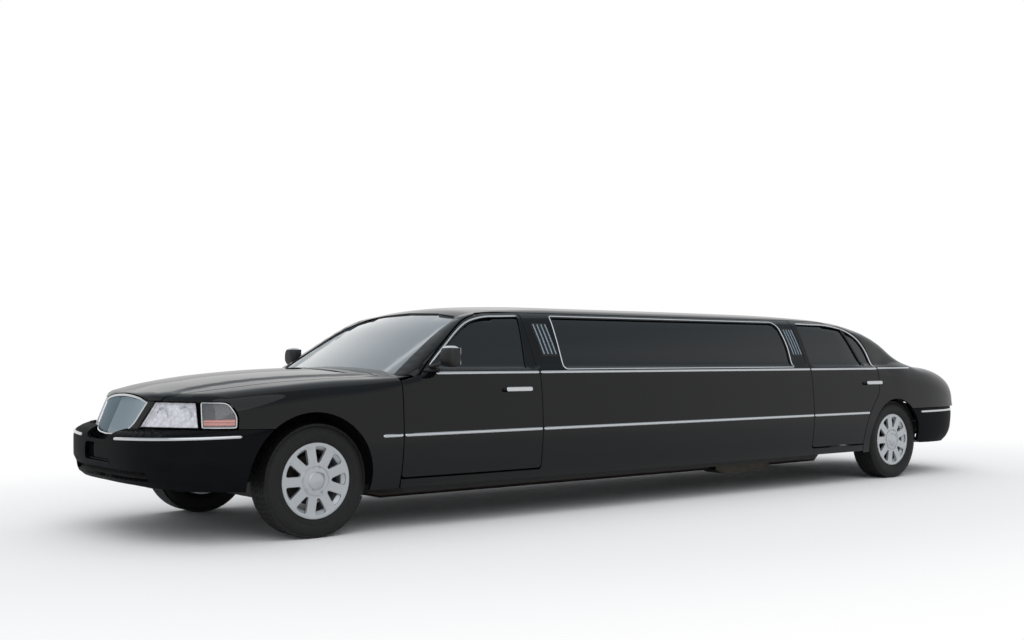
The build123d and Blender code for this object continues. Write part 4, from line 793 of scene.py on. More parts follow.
# Vacuum-metallised lamp bowl: a pale white base that is partly painted reflection of the mirror coat, in small
# facets whose colour is painted lighter at each middle as a glint.
BOWL = finish(
    # Painted glint: the colour runs from white at each facet's middle to grey at its edge.
    "vacuum_metallised_bowl", (cells(26), "#ffffff", "#c9c6cc"), (), (cells(26), 3.0),
    Metallic=0.25, Roughness=0.25,
)
# Satin chrome on zinc blades: mid grey-blue, without the mirror of the frame round them.
GRILLE_BLADE = finish(
    "satin_chrome_zinc_blade", (), (grain(30), 0.26, 0.34), Metallic=1.0, Base_Color=linear("#8c969c")
)
# Satin-anodised aluminium slat: pale blue-grey, soft gloss.
SATIN_BRIGHT = finish(
    "satin_anodised_aluminium", (), (grain(4, 3), 0.28, 0.40), Metallic=0.8, Base_Color=linear("#8d9ba6")
)
LENS = tinted_glass("clear_polycarbonate_lens", "#e4e6ea", "#fdfdfe", 0.95, 0.03)
RED = lamp_plastic("red_acrylic_lens", "#5a0306", "#8c0a0c")
AMBER = lamp_plastic("amber_acrylic_lens", "#a8482f", "#dc8a74")


# ------------------------------------------------------------------ pieces
def piece(name, shape, materials, rides="body", replaces=()):
    """Makes a mesh object of a shape with its finishes, hangs it under its body and hides the CAD nodes that it
    replaces.
    """
    mesh = bpy.data.meshes.new(name)
    mesh.from_pydata([tuple(v) for v in shape.verts], [], shape.faces)
    for material in materials:
        mesh.materials.append(material)
    mesh.polygons.foreach_set("material_index", np.array(shape.slots, np.int32))
    mesh.polygons.foreach_set("use_smooth", np.ones(len(shape.faces), bool))
    mesh.update()
    face_normals = np.zeros(len(mesh.polygons) * 3)
    mesh.polygons.foreach_get("normal", face_normals)
    face_normals = face_normals.reshape(-1, 3)
    of_face = np.repeat(np.arange(len(shape.faces)), [len(f) for f in shape.faces])
    of_vert = np.concatenate([np.array(f) for f in shape.faces])
    smooth_normal = shape.normals[of_vert]
    close = np.sum(smooth_normal * face_normals[of_face], 1) > 0.78
    loops = np.where(close[:, None], smooth_normal, face_normals[of_face])
    mesh.normals_split_custom_set([tuple(n) for n in loops])
    made = bpy.data.objects.new(name, mesh)
    bpy.context.scene.collection.objects.link(made)
    return tied(made, rides, replaces)


def tied(made, rides, replaces):
    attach(made, rides)
    if replaces:
        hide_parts(*([replaces] if isinstance(replaces, str) else replaces))
    return made


def sides():
    """Both sides of the car: its name, and how a left-hand shape is turned for it."""
    return (("left", lambda shape: shape), ("right", lambda shape: shape.mirrored()))


# ------------------------------------------------------------------ outlines of the panels
# Rows are (station, height), with a corner radius where the line turns.
DOOR_BOTTOM_Z = 0.335
SILL_Z = 0.270
RAIL_Z = 1.432
BUMPER_TOP_Z = 0.684
TAIL_BUMPER_TOP_Z = 0.634
FRONT_DOOR_X = front(0.590)
FRONT_DOOR_END = front(1.755)
REAR_DOOR_X = rear(-1.248)
REAR_DOOR_FOOT = rear(-0.512)
FENDER_TIP = front(-0.528)
FRONT_DOOR = (
    (FRONT_DOOR_X, DOOR_BOTTOM_Z, 0.03),
    (FRONT_DOOR_END, DOOR_BOTTOM_Z, 0.03),
    (FRONT_DOOR_END, RAIL_Z, 0.01),
    (front(1.40), 1.421, 0.25),
    (front(1.255), 1.380, 0.10),
    (front(1.14), 1.309, 0.10),
    (front(1.02), 1.222, 0.10),
    (front(0.86), 1.095, 0.10),
    (front(0.748), 0.998, 0.02),
    (FRONT_DOOR_X, 0.962, 0.01),
)
FRONT_WINDOW = (
    (front(0.832), 1.036, 0.015),
    (front(0.902), 1.090, 0.04),
    (front(1.046), 1.202, 0.10),
    (front(1.160), 1.286, 0.10),
    (front(1.270), 1.352, 0.10),
    (front(1.41), 1.388, 0.20),
    (front(1.724), 1.398, 0.012),
    (front(1.655), 1.036, 0.012),
)
LONG_WINDOW = (
    (front(2.016), 1.036, 0.02),
    (front(2.036), 1.398, 0.02),
    (rear(-1.500), 1.398, 0.04),
    (rear(-1.454), 1.362, 0.04),
    (rear(-1.434), 1.210, 0.10),
    (rear(-1.470), 1.036, 0.02),
)
REAR_TAIL = (
    (REAR_DOOR_FOOT, DOOR_BOTTOM_Z),
    (rear(-0.500), 0.470, 0.06),
    (rear(-0.455), 0.590, 0.06),
    (rear(-0.380), 0.690, 0.06),
    (rear(-0.305), 0.770, 0.05),
    (rear(-0.283), 0.830, 0.05),
    (rear(-0.277), 1.000, 0.10),
    (rear(-0.283), 1.175, 0.10),
    (rear(-0.336), 1.296, 0.08),
    (rear(-0.495), 1.378, 0.12),
    (rear(-0.740), 1.418, 0.15),
)
REAR_DOOR = (
    (REAR_DOOR_X, DOOR_BOTTOM_Z, 0.03), *REAR_TAIL, (rear(-0.90), RAIL_Z, 0.05), (REAR_DOOR_X, RAIL_Z, 0.01)
)
REAR_WINDOW = (
    (rear(-1.192), 1.036, 0.012),
    (rear(-1.178), 1.396, 0.012),
    (rear(-0.740), 1.390, 0.15),
    (rear(-0.525), 1.352, 0.12),
    (rear(-0.388), 1.276, 0.08),
    (rear(-0.326), 1.165, 0.08),
    (rear(-0.318), 1.036, 0.015),
)
# Half-width by station: the joint of roof and C-pillar, then the hood's and trunk lid's shut lines.
ROOF_CORNER = ((rear(-0.62), 0.727), (rear(-0.48), 0.69), (rear(-0.33), 0.662))
HOOD_LINE = (
    (front(0.505), 0.812), (front(0.0), 0.780), (front(-0.4), 0.712), (front(-0.62), 0.626), (front(-0.74), 0.540),
    (front(-0.80), 0.462)
)
LID_LINE = ((rear(0.440), 0.735), (rear(0.90), 0.735), (rear(1.15), 0.705), (rear(1.26), 0.660))
# Glass seen from in front or behind: half-width, height.
WINDSHIELD = (
    (0.0, 1.437), (0.35, 1.425), (0.600, 1.398, 0.05), (0.655, 1.345, 0.04), (0.800, 0.990, 0.04),
    (0.74, 0.958, 0.03), (0.4, 0.99), (0.0, 1.003)
)
BACK_GLASS = (
    (0.0, 1.392), (0.30, 1.384), (0.600, 1.352, 0.06), (0.655, 1.30, 0.06), (0.765, 1.060, 0.05),
    (0.70, 1.022, 0.05), (0.35, 1.045), (0.0, 1.052)
)
# Wheel openings: station, height and radius.
FRONT_ARCH = (front(-0.052), AXLE_Z, 0.425)
REAR_ARCH = (rear(-0.030), 0.345, 0.384)


def arch(circle, start, end, count=40):
    """Part of a wheel opening as (station, height) rows, between two angles in degrees from straight back."""
    x, z, radius = circle
    return [(x + radius * cos(radians(a)), z + radius * sin(radians(a))) for a in np.linspace(start, end, count)]


def angle_at(circle, height, behind):
    """Angle at which a wheel opening passes this height."""
    rise = degrees(asin((height - circle[1]) / circle[2]))
    return rise if behind else 180 - rise


def shrunk(points, by):
    """Closed flat outline pulled in all round."""
    along = np.roll(points, -1, 0) - np.roll(points, 1, 0)
    normal = unit(np.stack([along[:, 1], -along[:, 0]], 1))
    area = np.sum(points[:, 0] * np.roll(points[:, 1], -1) - np.roll(points[:, 0], -1) * points[:, 1])
    return points - normal * by * (1 if area > 0 else -1)


def laid(skin, chart, rows, pull=0.0, gap=0.018):
    """Closed outline on a surface, pulled in by a distance."""
    return cast(skin, chart, shrunk(spaced(rounded(rows), True, gap), pull))


def line(skin, chart, rows, gap=0.018):
    """Open line on a surface."""
    return cast(skin, chart, spaced(rounded(rows, False), False, gap))


def halves(left, flip=(1, -1, 1)):
    """Closed outline from its left half, which runs from the middle and back to the middle."""
    return np.vstack([left, (left * np.array(flip))[::-1][1:-1]])


def chain(*runs):
    """Runs end to end, without the points that double."""
    points = np.vstack(runs)
    keep = [0]
    for i in range(1, len(points)):
        if np.linalg.norm(points[i] - points[keep[-1]]) > 0.004:
            keep.append(i)
    if np.linalg.norm(points[keep[-1]] - points[0]) < 0.004:
        keep.pop()
    return points[keep]


def left_y(rows):
    """(station, half-width) rows as top-view rows on the left."""
    return [(row[0], -row[1], *row[2:]) for row in rows]


def oblong(low_u, low_v, high_u, high_v, corner=0.0, lean=0.0):
    """Rows of a four-cornered outline whose upper side is shifted by the lean."""
    low = ((low_u, low_v, corner), (high_u, low_v, corner))
    return (*low, (high_u + lean, high_v, corner), (low_u + lean, high_v, corner))


def left_first(rows):
    """(half-width, height) rows as front-view or rear-view rows on the left."""
    return [(-row[0], *row[1:]) for row in rows]


# ------------------------------------------------------------------ body panels
def door_wall(p):
    """Thickness of a door at these points: thick below the glass, slim round it."""
    return 0.088 - 0.045 * ease(0.98, 1.04, p[:, 2])


def door_shapes():
    """Left doors with their windows cut."""
    front_loops = [laid(body, SIDE, FRONT_DOOR, SHUT_GAP / 2), laid(body, SIDE, FRONT_WINDOW)]
    rear_loops = [laid(body, SIDE, REAR_DOOR, SHUT_GAP / 2), laid(body, SIDE, REAR_WINDOW)]
    front_door = panel(body, SIDE, front_loops, door_wall, inward=RIGHT, lining=1)
    rear_door = panel(body, SIDE, rear_loops, door_wall, inward=RIGHT, lining=1)
    return front_door, rear_door


def stretch_shape():
    """Left side of the added section with its rocker."""
    outline = (
        (FRONT_DOOR_X, SILL_Z),
        (REAR_DOOR_FOOT, SILL_Z),
        (REAR_DOOR_FOOT, DOOR_BOTTOM_Z - SHUT_GAP, 0.005),
        (REAR_DOOR_X, DOOR_BOTTOM_Z - SHUT_GAP, 0.02),
        (REAR_DOOR_X, RAIL_Z),
        (FRONT_DOOR_END, RAIL_Z),
        (FRONT_DOOR_END, DOOR_BOTTOM_Z - SHUT_GAP, 0.02),
        (FRONT_DOOR_X, DOOR_BOTTOM_Z - SHUT_GAP),
    )
    loops = [laid(body, SIDE, outline, 0.002), laid(body, SIDE, LONG_WINDOW)]
    return panel(body, SIDE, loops, door_wall, inward=RIGHT, lining=1)


def fender_shape():
    """Left front fender, from the hood's shut line to the rocker."""
    chart = Fan(BACK, UP, LEFT, (0, -0.50, 0.50))
    hood_line = [(x, w + SHUT_GAP / 2) for x, w in HOOD_LINE]
    bumper_angle = angle_at(FRONT_ARCH, BUMPER_TOP_Z, False)
    sill_angle = angle_at(FRONT_ARCH, SILL_Z, True)
    outline = chain(
        line(lower, TOP, left_y(hood_line)),
        line(lower, NOSE, ((0.466, 0.876), (0.462, 0.848), (0.64, 0.848))),
        line(
            lower, SIDE,
            (
                (front(-0.68), 0.848), (front(-0.566), 0.848, 0.03), (front(-0.523), 0.768, 0.03),
                (FENDER_TIP, BUMPER_TOP_Z + 0.002)
            )
        ),
        line(lower, SIDE, [(FENDER_TIP, BUMPER_TOP_Z + 0.002)] + arch(FRONT_ARCH, bumper_angle, sill_angle)),
        line(
            lower, SIDE,
            ((front(0.37), SILL_Z), (FRONT_DOOR_X - SHUT_GAP / 2, SILL_Z), (FRONT_DOOR_X - SHUT_GAP / 2, 0.958))
        ),
        line(
            lower, TOP,
            ((FRONT_DOOR_X - SHUT_GAP / 2, -0.920), (FRONT_DOOR_X - SHUT_GAP / 2, -0.825), (front(0.505), -0.815))
        ),
    )
    return panel(lower, chart, [outline], 0.02, lining=1)


def hood_shape():
    """Hood, with the lip that turns down over the grille."""
    chart = Fan(RIGHT, UP, BACK, (front(-0.20), 0, 0), 1.0)
    side_line = [(x, w - SHUT_GAP / 2) for x, w in HOOD_LINE]
    left = chain(
        line(lower, TOP, left_y([(front(0.508), 0.0), (front(0.506), 0.5), *side_line])),
        line(
            lower, NOSE,
            (
                (0.458, 0.878), (0.450, 0.850, 0.01), (0.350, 0.846, 0.01), (0.25, 0.872, 0.20),
                (0.12, 0.885, 0.20), (0.0, 0.888)
            )
        ),
    )
    return panel(lower, chart, [halves(left)], hood_wall, step=0.035, lining=1)


def hood_wall(p):
    """Thickness of the hood: its inner frame stops ahead of the hinge brackets."""
    return 0.022 - 0.017 * ease(front(0.38), front(0.42), p[:, 0])


def cowl_shape():
    """Cowl between the hood and the windshield, out to the door tops."""
    left = left_y((
        (front(0.528), 0.0), (front(0.522), 0.5), (front(0.512), 0.815), (front(0.586), 0.822),
        (front(0.588), 0.915), (front(0.748), 0.922), (front(0.86), 0.87), (front(0.80), 0.0)
    ))
    outline = cast(lower, TOP, spaced(np.array(left), False))
    return panel(lower, TOP, [halves(outline)], 0.015, edge=0.002, step=0.04)


def lid_shape():
    """Trunk lid: its top and its upright rear face."""
    chart = Fan(RIGHT, UP, BACK, (rear(0.85), 0, 0.35))
    left = chain(
        line(lower, TOP, left_y([(rear(0.440), 0.0), *LID_LINE])),
        line(
            lower, TAIL,
            ((-0.652, 0.88), (-0.645, TAIL_BUMPER_TOP_Z + 0.010, 0.03), (0.0, TAIL_BUMPER_TOP_Z + 0.010))
        ),
    )
    return panel(lower, chart, [halves(left)], 0.022, lining=1)


def quarter_shape():
    """Left rear quarter with its C-pillar."""
    chart = Fan(BACK, UP, LEFT, (0, -0.35, 0.62))
    tail = [(x + SHUT_GAP / 2, *rest) for x, *rest in REAR_TAIL]
    start, end = angle_at(REAR_ARCH, TAIL_BUMPER_TOP_Z, True), angle_at(REAR_ARCH, SILL_Z, False)
    lid_line = [(x, w + SHUT_GAP) for x, w in LID_LINE]
    outline = chain(
        line(body, SIDE, [(REAR_DOOR_FOOT + SHUT_GAP / 2, SILL_Z)] + tail),
        line(body, TOP, left_y(ROOF_CORNER)),
        line(upper, TAIL, ((-0.662, 1.30, 0.05), (-0.772, 1.06, 0.05), (-0.775, 1.02))),
        line(lower, TOP, left_y([(rear(0.42), 0.775), (rear(0.432), 0.741), *lid_line])),
        line(lower, TAIL, ((-0.662, 0.93), (-0.662, 0.905), (-0.80, 0.905))),
        line(
            lower, SIDE,
            (
                (rear(1.19), 0.905), (rear(1.055), 0.905, 0.04), (rear(1.050), TAIL_BUMPER_TOP_Z + 0.002),
                (rear(0.22), TAIL_BUMPER_TOP_Z + 0.002)
            )
        ),
        line(lower, SIDE, arch(REAR_ARCH, start, end) + [(REAR_DOOR_FOOT + SHUT_GAP / 2, SILL_Z)]),
    )
    return panel(body, chart, [outline], 0.02, lining=1)


def roof_shape():
    """Roof with its A-pillars."""
    chart = Fan(BACK, UP, LEFT, (0, 0, 0.35), 1.0)
    door_line = FRONT_DOOR[3:9][::-1]
    left = chain(
        line(upper, NOSE_LEFT, left_first(WINDSHIELD[:5])),
        line(
            upper, SIDE,
            [(front(0.72), 0.975)] + [(x - SHUT_GAP / 2, z + SHUT_GAP / 2, *r) for x, z, *r in door_line]
        ),
        line(
            upper, SIDE, ((front(1.55), RAIL_Z + 0.001), (rear(-0.90), RAIL_Z + 0.001, 0.1), (rear(-0.74), 1.422))
        ),
        line(upper, TOP, left_y(ROOF_CORNER)),
        line(upper, TAIL, left_first(BACK_GLASS[:4])[::-1]),
    )
    return panel(upper, chart, [halves(left)], 0.03, edge=0.0005, step=0.045, lining=1)


def recess(skin, chart, loop, depth, slot):
    """Walls and floor of a pocket behind a hole in a surface."""
    normal = normals_of(skin, loop)
    back = loop - normal * depth
    walls = band(loop - normal * 0.002, back, slot)
    deep = sunk(skin, depth)
    floor = panel(deep, chart, [cast(deep, chart, chart.uv(back))], 0.003, edge=0.0005, step=0.05)
    return walls + floor.painted(slot)


FRONT_WRAP = Fan(UP, AHEAD, LEFT, (front(-0.30), 0, 0), 1.0)
BUMPER_MOUTH = ((-0.60, 0.376, 0.02), (0.60, 0.376, 0.02), (0.58, 0.432, 0.02), (-0.58, 0.432, 0.02))
PLATE_DIP = ((-0.205, 0.474, 0.03), (0.205, 0.474, 0.03), (0.200, 0.584, 0.04), (-0.200, 0.584, 0.04))


def front_bumper_shape():
    """Front bumper cover with its mouth and the dip under the grille."""
    bottom_angle = angle_at(FRONT_ARCH, 0.315, False)
    top_angle = angle_at(FRONT_ARCH, BUMPER_TOP_Z, False)
    wheel_cut = arch(FRONT_ARCH, top_angle, bottom_angle, 24)
    left = chain(
        line(
            front_bumper_skin, NOSE,
            ((0.0, 0.608), (0.15, 0.608, 0.03), (0.235, BUMPER_TOP_Z - 0.004, 0.03), (0.66, BUMPER_TOP_Z - 0.002))
        ),
        line(front_bumper_skin, SIDE, [(front(-0.86), BUMPER_TOP_Z), (front(-0.40), BUMPER_TOP_Z)] + wheel_cut),
        line(front_bumper_skin, SIDE, ((front(-0.48), 0.315), (front(-0.82), 0.325))),
        line(front_bumper_skin, NOSE, ((0.70, 0.332), (0.40, 0.345), (0.0, 0.347))),
    )
    mouth, dip = (laid(front_bumper_skin, NOSE, rows) for rows in (BUMPER_MOUTH, PLATE_DIP))
    cover = panel(front_bumper_skin, FRONT_WRAP, [halves(left), mouth, dip], 0.025, step=0.035, lining=1)
    pockets = recess(front_bumper_skin, NOSE, mouth, 0.070, 1) + recess(front_bumper_skin, NOSE, dip, 0.028, 0)
    return cover + pockets


def rear_bumper_shape():
    """Rear bumper cover."""
    chart = Fan(UP, BACK, LEFT, (rear(0.65), 0, 0), 1.0)
    wheel_cut = arch(REAR_ARCH, angle_at(REAR_ARCH, TAIL_BUMPER_TOP_Z, True), -3, 24)
    left = chain(
        line(rear_bumper_skin, TAIL, ((0.0, TAIL_BUMPER_TOP_Z), (-0.70, TAIL_BUMPER_TOP_Z))),
        line(
            rear_bumper_skin, SIDE, [(rear(1.18), TAIL_BUMPER_TOP_Z), (rear(0.30), TAIL_BUMPER_TOP_Z)] + wheel_cut
        ),
        line(rear_bumper_skin, SIDE, ((rear(0.42), 0.305, 0.05), (rear(1.10), 0.290))),
        line(rear_bumper_skin, TAIL, ((-0.80, 0.295), (-0.4, 0.315), (0.0, 0.320))),
    )
    return panel(rear_bumper_skin, chart, [halves(left)], 0.025, step=0.035, lining=1)


def pane(rows, grow=0.012, depth=0.010):
    """Side window glass, a little larger than its opening and set in from the surface."""
    skin = sunk(body, depth)
    return panel(skin, SIDE, [laid(skin, SIDE, rows, -grow)], 0.005, edge=0.001, step=0.05)


def screen(rows, chart, depth=0.008, grow=0.010):
    """Windshield or back glass."""
    skin = sunk(upper, depth)
    whole = halves(spaced(rounded(left_first(rows), False), False), (-1, 1))
    return panel(skin, chart, [cast(skin, chart, shrunk(whole, -grow))], 0.006, edge=0.001, step=0.05)


front_door, rear_door = door_shapes()
stretch = stretch_shape()
fender = fender_shape()
quarter = quarter_shape()
for side, turned in sides():
    for end, door in (("front", front_door), ("rear", rear_door)):
        own = f"{end}_door_{side}"
        piece(f"{end}_door_panel_{side}", turned(door), (PAINT, TRIM), own, own)
    for end, window, slot in (("front", FRONT_WINDOW, "glass"), ("rear", REAR_WINDOW, "privacy_glass")):
        own, replaced = f"{end}_door_{side}", f"{end}_door_glass_{side}"
        piece(f"{end}_door_window_{side}", turned(pane(window)), (DARK_GLASS,), own, replaced)
piece("stretch_side_panels", stretch.both(), (PAINT, TRIM), "body", "stretch_panels")
piece("front_fender_panels", fender.both(), (PAINT, LINER), "body", "front_fenders")
piece("rear_quarter_panels", quarter.both(), (PAINT, TRIM), "body", "rear_quarters")
piece("hood_panel", hood_shape(), (PAINT, LINER), "hood", "hood")
piece("cowl_panel", cowl_shape(), (PAINT,), "body", ())
piece("trunk_lid_panel", lid_shape(), (PAINT, TRIM), "trunk_lid", "trunk_lid")
piece("roof_panel", roof_shape(), (PAINT, HEADLINER), "body", "roof")
piece("front_bumper_cover", front_bumper_shape(), (BUMPER, LINER), "body", "front_bumper")
piece("rear_bumper_cover", rear_bumper_shape(), (BUMPER, LINER), "body", "rear_bumper")
piece("long_side_windows", pane(LONG_WINDOW).both(), (DARK_GLASS,), "body", "stretch_windows")
piece("windshield_glass", screen(WINDSHIELD, NOSE_LEFT), (CLEAR_GLASS,), "body", "windshield")
piece("rear_window_glass", screen(BACK_GLASS, TAIL), (DARK_GLASS,), "body", "rear_window")


# ------------------------------------------------------------------ mouldings and fittings
def bead(skin, chart, rows, width, height, closed=False, taper=0.0, gap=0.03, lift=0.0):
    """Half-round moulding laid on a surface."""
    path = laid(skin, chart, rows, 0, gap) if closed else line(skin, chart, rows, gap)
    return sweep(path, normals_of(skin, path), round_section(width, height, lift), closed, taper)


def points_on(skin, chart, points, pull=0.0, gap=0.012):
    """Closed outline on a surface through 3-D points with a corner radius each."""
    uv = chart.uv(np.array([p[:3] for p in points], float))
    rows = [(*q, p[3] if len(p) > 3 else 0.0) for q, p in zip(uv, points)]
    return cast(skin, chart, shrunk(spaced(rounded(rows), True, gap), pull))


# Chrome on the front door: window surround, belt, side moulding, handle.
FRONT_CHROME = (
    (front(0.812), 1.026, 0.02),
    (front(0.890), 1.096, 0.04),
    (front(1.036), 1.212, 0.10),
    (front(1.150), 1.297, 0.10),
    (front(1.262), 1.362, 0.10),
    (front(1.41), 1.396, 0.20),
    (front(1.728), 1.406),
)
REAR_CHROME = (
    (rear(-1.178), 1.402),
    (rear(-0.738), 1.397, 0.15),
    (rear(-0.515), 1.360, 0.12),
    (rear(-0.376), 1.284, 0.08),
    (rear(-0.308), 1.168, 0.08),
    (rear(-0.300), 1.014),
)
LONG_CHROME = (
    (front(2.004), 1.026, 0.02),
    (front(2.024), 1.410, 0.02),
    (rear(-1.488), 1.410, 0.05),
    (rear(-1.441), 1.366, 0.05),
    (rear(-1.420), 1.208, 0.12),
    (rear(-1.456), 1.026, 0.02),
)
BELT_Z = 1.006
MOULDING_Z = 0.612
BELT_SIZE = (0.020, 0.008)
MOULDING_SIZE = (0.024, 0.010)
SURROUND_SIZE = (0.013, 0.006)


def strip(start, end, height, size, skin=body):
    """Straight bright strip along the side."""
    ends = ((start, height), (start + 0.012, height), (end - 0.012, height), (end, height))
    return bead(skin, SIDE, ends, *size, gap=0.10, taper=0.010)


def handle(middle, height):
    """Pull handle on two feet."""
    grip_skin = sunk(body, -0.034)
    rows = oblong(middle - 0.115, height - 0.016, middle + 0.115, height + 0.016, 0.016)
    parts = [panel(grip_skin, SIDE, [laid(grip_skin, SIDE, rows, 0, 0.008)], 0.012, edge=0.006, step=0.02)]
    for x in (middle - 0.100, middle + 0.100):
        foot = cast(body, SIDE, np.array([(x, height)]))[0]
        way = normals_of(body, foot[None])[0]
        parts.append(rod(foot - way * 0.004, foot + way * 0.026, 0.011, 16))
    return joined(parts)


CAP_START = 0.72


def mirror_shapes():
    """Left door mirror: housing, bright cap, glass and the arm to the door's corner."""
    middle = np.array((front(0.905), -1.060, 1.116))
    half = np.array((0.052, 0.079, 0.070))
    verts = []
    rows, columns = 20, 36
    for i in range(rows + 1):
        a = -pi / 2 + pi * i / rows
        for j in range(columns):
            b = 2 * pi * j / columns
            ca, cb, sb, sa = cos(a), cos(b), sin(b), sin(a)
            powers = ((ca * cb, 0.75), (ca * sb, 0.62), (sa, 0.72))
            q = np.array([np.sign(share) * abs(share) ** power for share, power in powers])
            q[0] = min(q[0], 0.62)
            verts.append(middle + q * half * (1, 1 - 0.06 * q[2], 1))
    slots = [int(i >= rows * CAP_START) for i in range(rows) for _ in range(columns)]
    shell = outward_faces(Shape(verts, woven(rows + 1, columns, False), None, slots))
    glass = block(middle + (0.0325, -0.066, -0.055), middle + (0.036, 0.066, 0.055), 0.001)
    foot = cast(body, SIDE, np.array([(front(0.845), 1.060)]))[0]
    path = [foot + (0.0, 0.010, -0.012), foot + (0.01, -0.03, -0.010), middle + (-0.01, 0.075, -0.045)]
    arm = sweep(path, UP, [(0.024 * cos(a), 0.013 * sin(a)) for a in np.linspace(0, 2 * pi, 13)[:-1]], False)
    corner = ((front(0.775), 1.016, 0.01), (front(0.905), 1.016, 0.02), (front(0.905), 1.094, 0.02))
    plate = panel(body, SIDE, [laid(body, SIDE, corner, 0, 0.01)], -0.010, edge=0.0005, step=0.02)
    return shell, glass, arm, plate


def belt_and_moulding(belt_start, belt_end, moulding_start, moulding_end):
    """The two bright strips that cross a panel."""
    belt = strip(belt_start, belt_end, BELT_Z, BELT_SIZE)
    return belt + strip(moulding_start, moulding_end, MOULDING_Z, MOULDING_SIZE)


STRIP_END = 0.006
door_start, door_end = FRONT_DOOR_X + STRIP_END, FRONT_DOOR_END - STRIP_END
chrome_front = bead(body, SIDE, FRONT_CHROME, *SURROUND_SIZE, taper=0.01)
chrome_front = chrome_front + belt_and_moulding(front(0.865), door_end, door_start, door_end)
door_start = REAR_DOOR_X + STRIP_END
chrome_rear = bead(body, SIDE, REAR_CHROME, *SURROUND_SIZE, taper=0.01)
chrome_rear = chrome_rear + belt_and_moulding(door_start, rear(-0.288), door_start, rear(-0.455))
span = (FRONT_DOOR_END + STRIP_END, REAR_DOOR_X - STRIP_END)
chrome_stretch = bead(body, SIDE, LONG_CHROME, 0.010, 0.005, closed=True) + belt_and_moulding(*span, *span)
front_handle, rear_handle = handle(front(1.531), 0.892), handle(rear(-0.392), 0.882)
division = bead(body, SIDE, ((rear(-0.560), 1.372), (rear(-0.452), 1.036)), 0.024, 0.004, gap=0.05)
mirror_shell, mirror_glass, mirror_arm, mirror_foot = mirror_shapes()
for side, turned in sides():
    front_own, rear_own = f"front_door_{side}", f"rear_door_{side}"
    piece(f"front_door_chrome_{side}", turned(chrome_front), (CHROME,), front_own)
    piece(f"rear_door_chrome_{side}", turned(chrome_rear), (CHROME,), rear_own)
    piece(f"front_door_handle_{side}", turned(front_handle), (CHROME,), front_own)
    piece(f"rear_door_handle_{side}", turned(rear_handle), (CHROME,), rear_own)
    piece(f"rear_door_division_bar_{side}", turned(division), (SEAL,), rear_own)
    housing = turned(mirror_shell + mirror_arm + mirror_foot)
    piece(f"door_mirror_housing_{side}", housing, (TRIM, CHROME), front_own, f"door_mirror_{side}")
    piece(f"door_mirror_reflector_{side}", turned(mirror_glass), (CHROME,), front_own)
piece("stretch_chrome", chrome_stretch.both(), (CHROME,))
fender_chrome = strip(front(0.432), FRONT_DOOR_X - STRIP_END, MOULDING_Z, MOULDING_SIZE, lower)
quarter_chrome = strip(rear(-0.270), rear(0.30), BELT_Z + 0.004, (0.016, 0.006))
piece("fender_side_strips", fender_chrome.both(), (CHROME,))
piece("quarter_belt_strips", quarter_chrome.both(), (CHROME,))
front_run = [(0.620 + 0.024 * t, 0.36 + 0.985 * t) for t in (0, 0.01, *np.linspace(0.04, 0.96, 24), 0.99, 1)]
front_bright = bead(front_bumper_skin, FRONT_WRAP, front_run, 0.019, 0.007, taper=0.010)
piece("front_bumper_strips", front_bright.both(), (CHROME,))
rear_wrap = Fan(UP, BACK, LEFT, (rear(0.30), 0, 0), 1.0)
rear_run = [(0.600, 1.50 * t) for t in (*np.linspace(0.0, 0.98, 34), 0.992, 1)]
rear_bright = bead(rear_bumper_skin, rear_wrap, rear_run, 0.020, 0.005, taper=0.010)
piece("rear_bumper_strips", rear_bright.both(), (CHROME,))


# ------------------------------------------------------------------ louvre panels beside the long window
SLATS = 4
SLAT_SECTION = ((-0.006, 0.0), (0.006, 0.0), (0.005, 0.007), (-0.005, 0.007))
LOUVRE_Z = (1.119, 1.356)


def louvre(low_x, high_x, lean):
    """Dark panel and its bright slats, which lean with the window's pillar."""
    low_z, high_z = LOUVRE_Z
    rows = oblong(low_x, low_z, high_x, high_z, 0.004, lean)
    base_skin = sunk(body, -0.002)
    base = panel(base_skin, SIDE, [laid(base_skin, SIDE, rows, 0, 0.02)], 0.004, edge=0.001, step=0.04)
    slats = []
    pitch = (high_x - low_x) / SLATS
    for n in range(SLATS):
        x = low_x + pitch * (n + 0.5)
        path = line(body, SIDE, ((x, low_z + 0.012), (x + lean, high_z - 0.012)), 0.04)
        slats.append(sweep(path, normals_of(body, path), SLAT_SECTION, False))
    return base, joined(slats)


front_base, front_slats = louvre(front(1.838), front(1.985), -0.020)
rear_base, rear_slats = louvre(rear(-1.400), rear(-1.262), -0.010)
piece("louvre_panels", (front_base + rear_base).both(), (SEAL,))
piece("louvre_slats", (front_slats + rear_slats).both(), (SATIN_BRIGHT,))

# ------------------------------------------------------------------ grille
FINE_GAP = 0.012
GRILLE_RING = (
    (0.0, 0.884), (0.12, 0.881, 0.3), (0.25, 0.866, 0.25), (0.342, 0.838, 0.006), (0.288, 0.662, 0.07),
    (0.15, 0.632, 0.2), (0.0, 0.626)
)


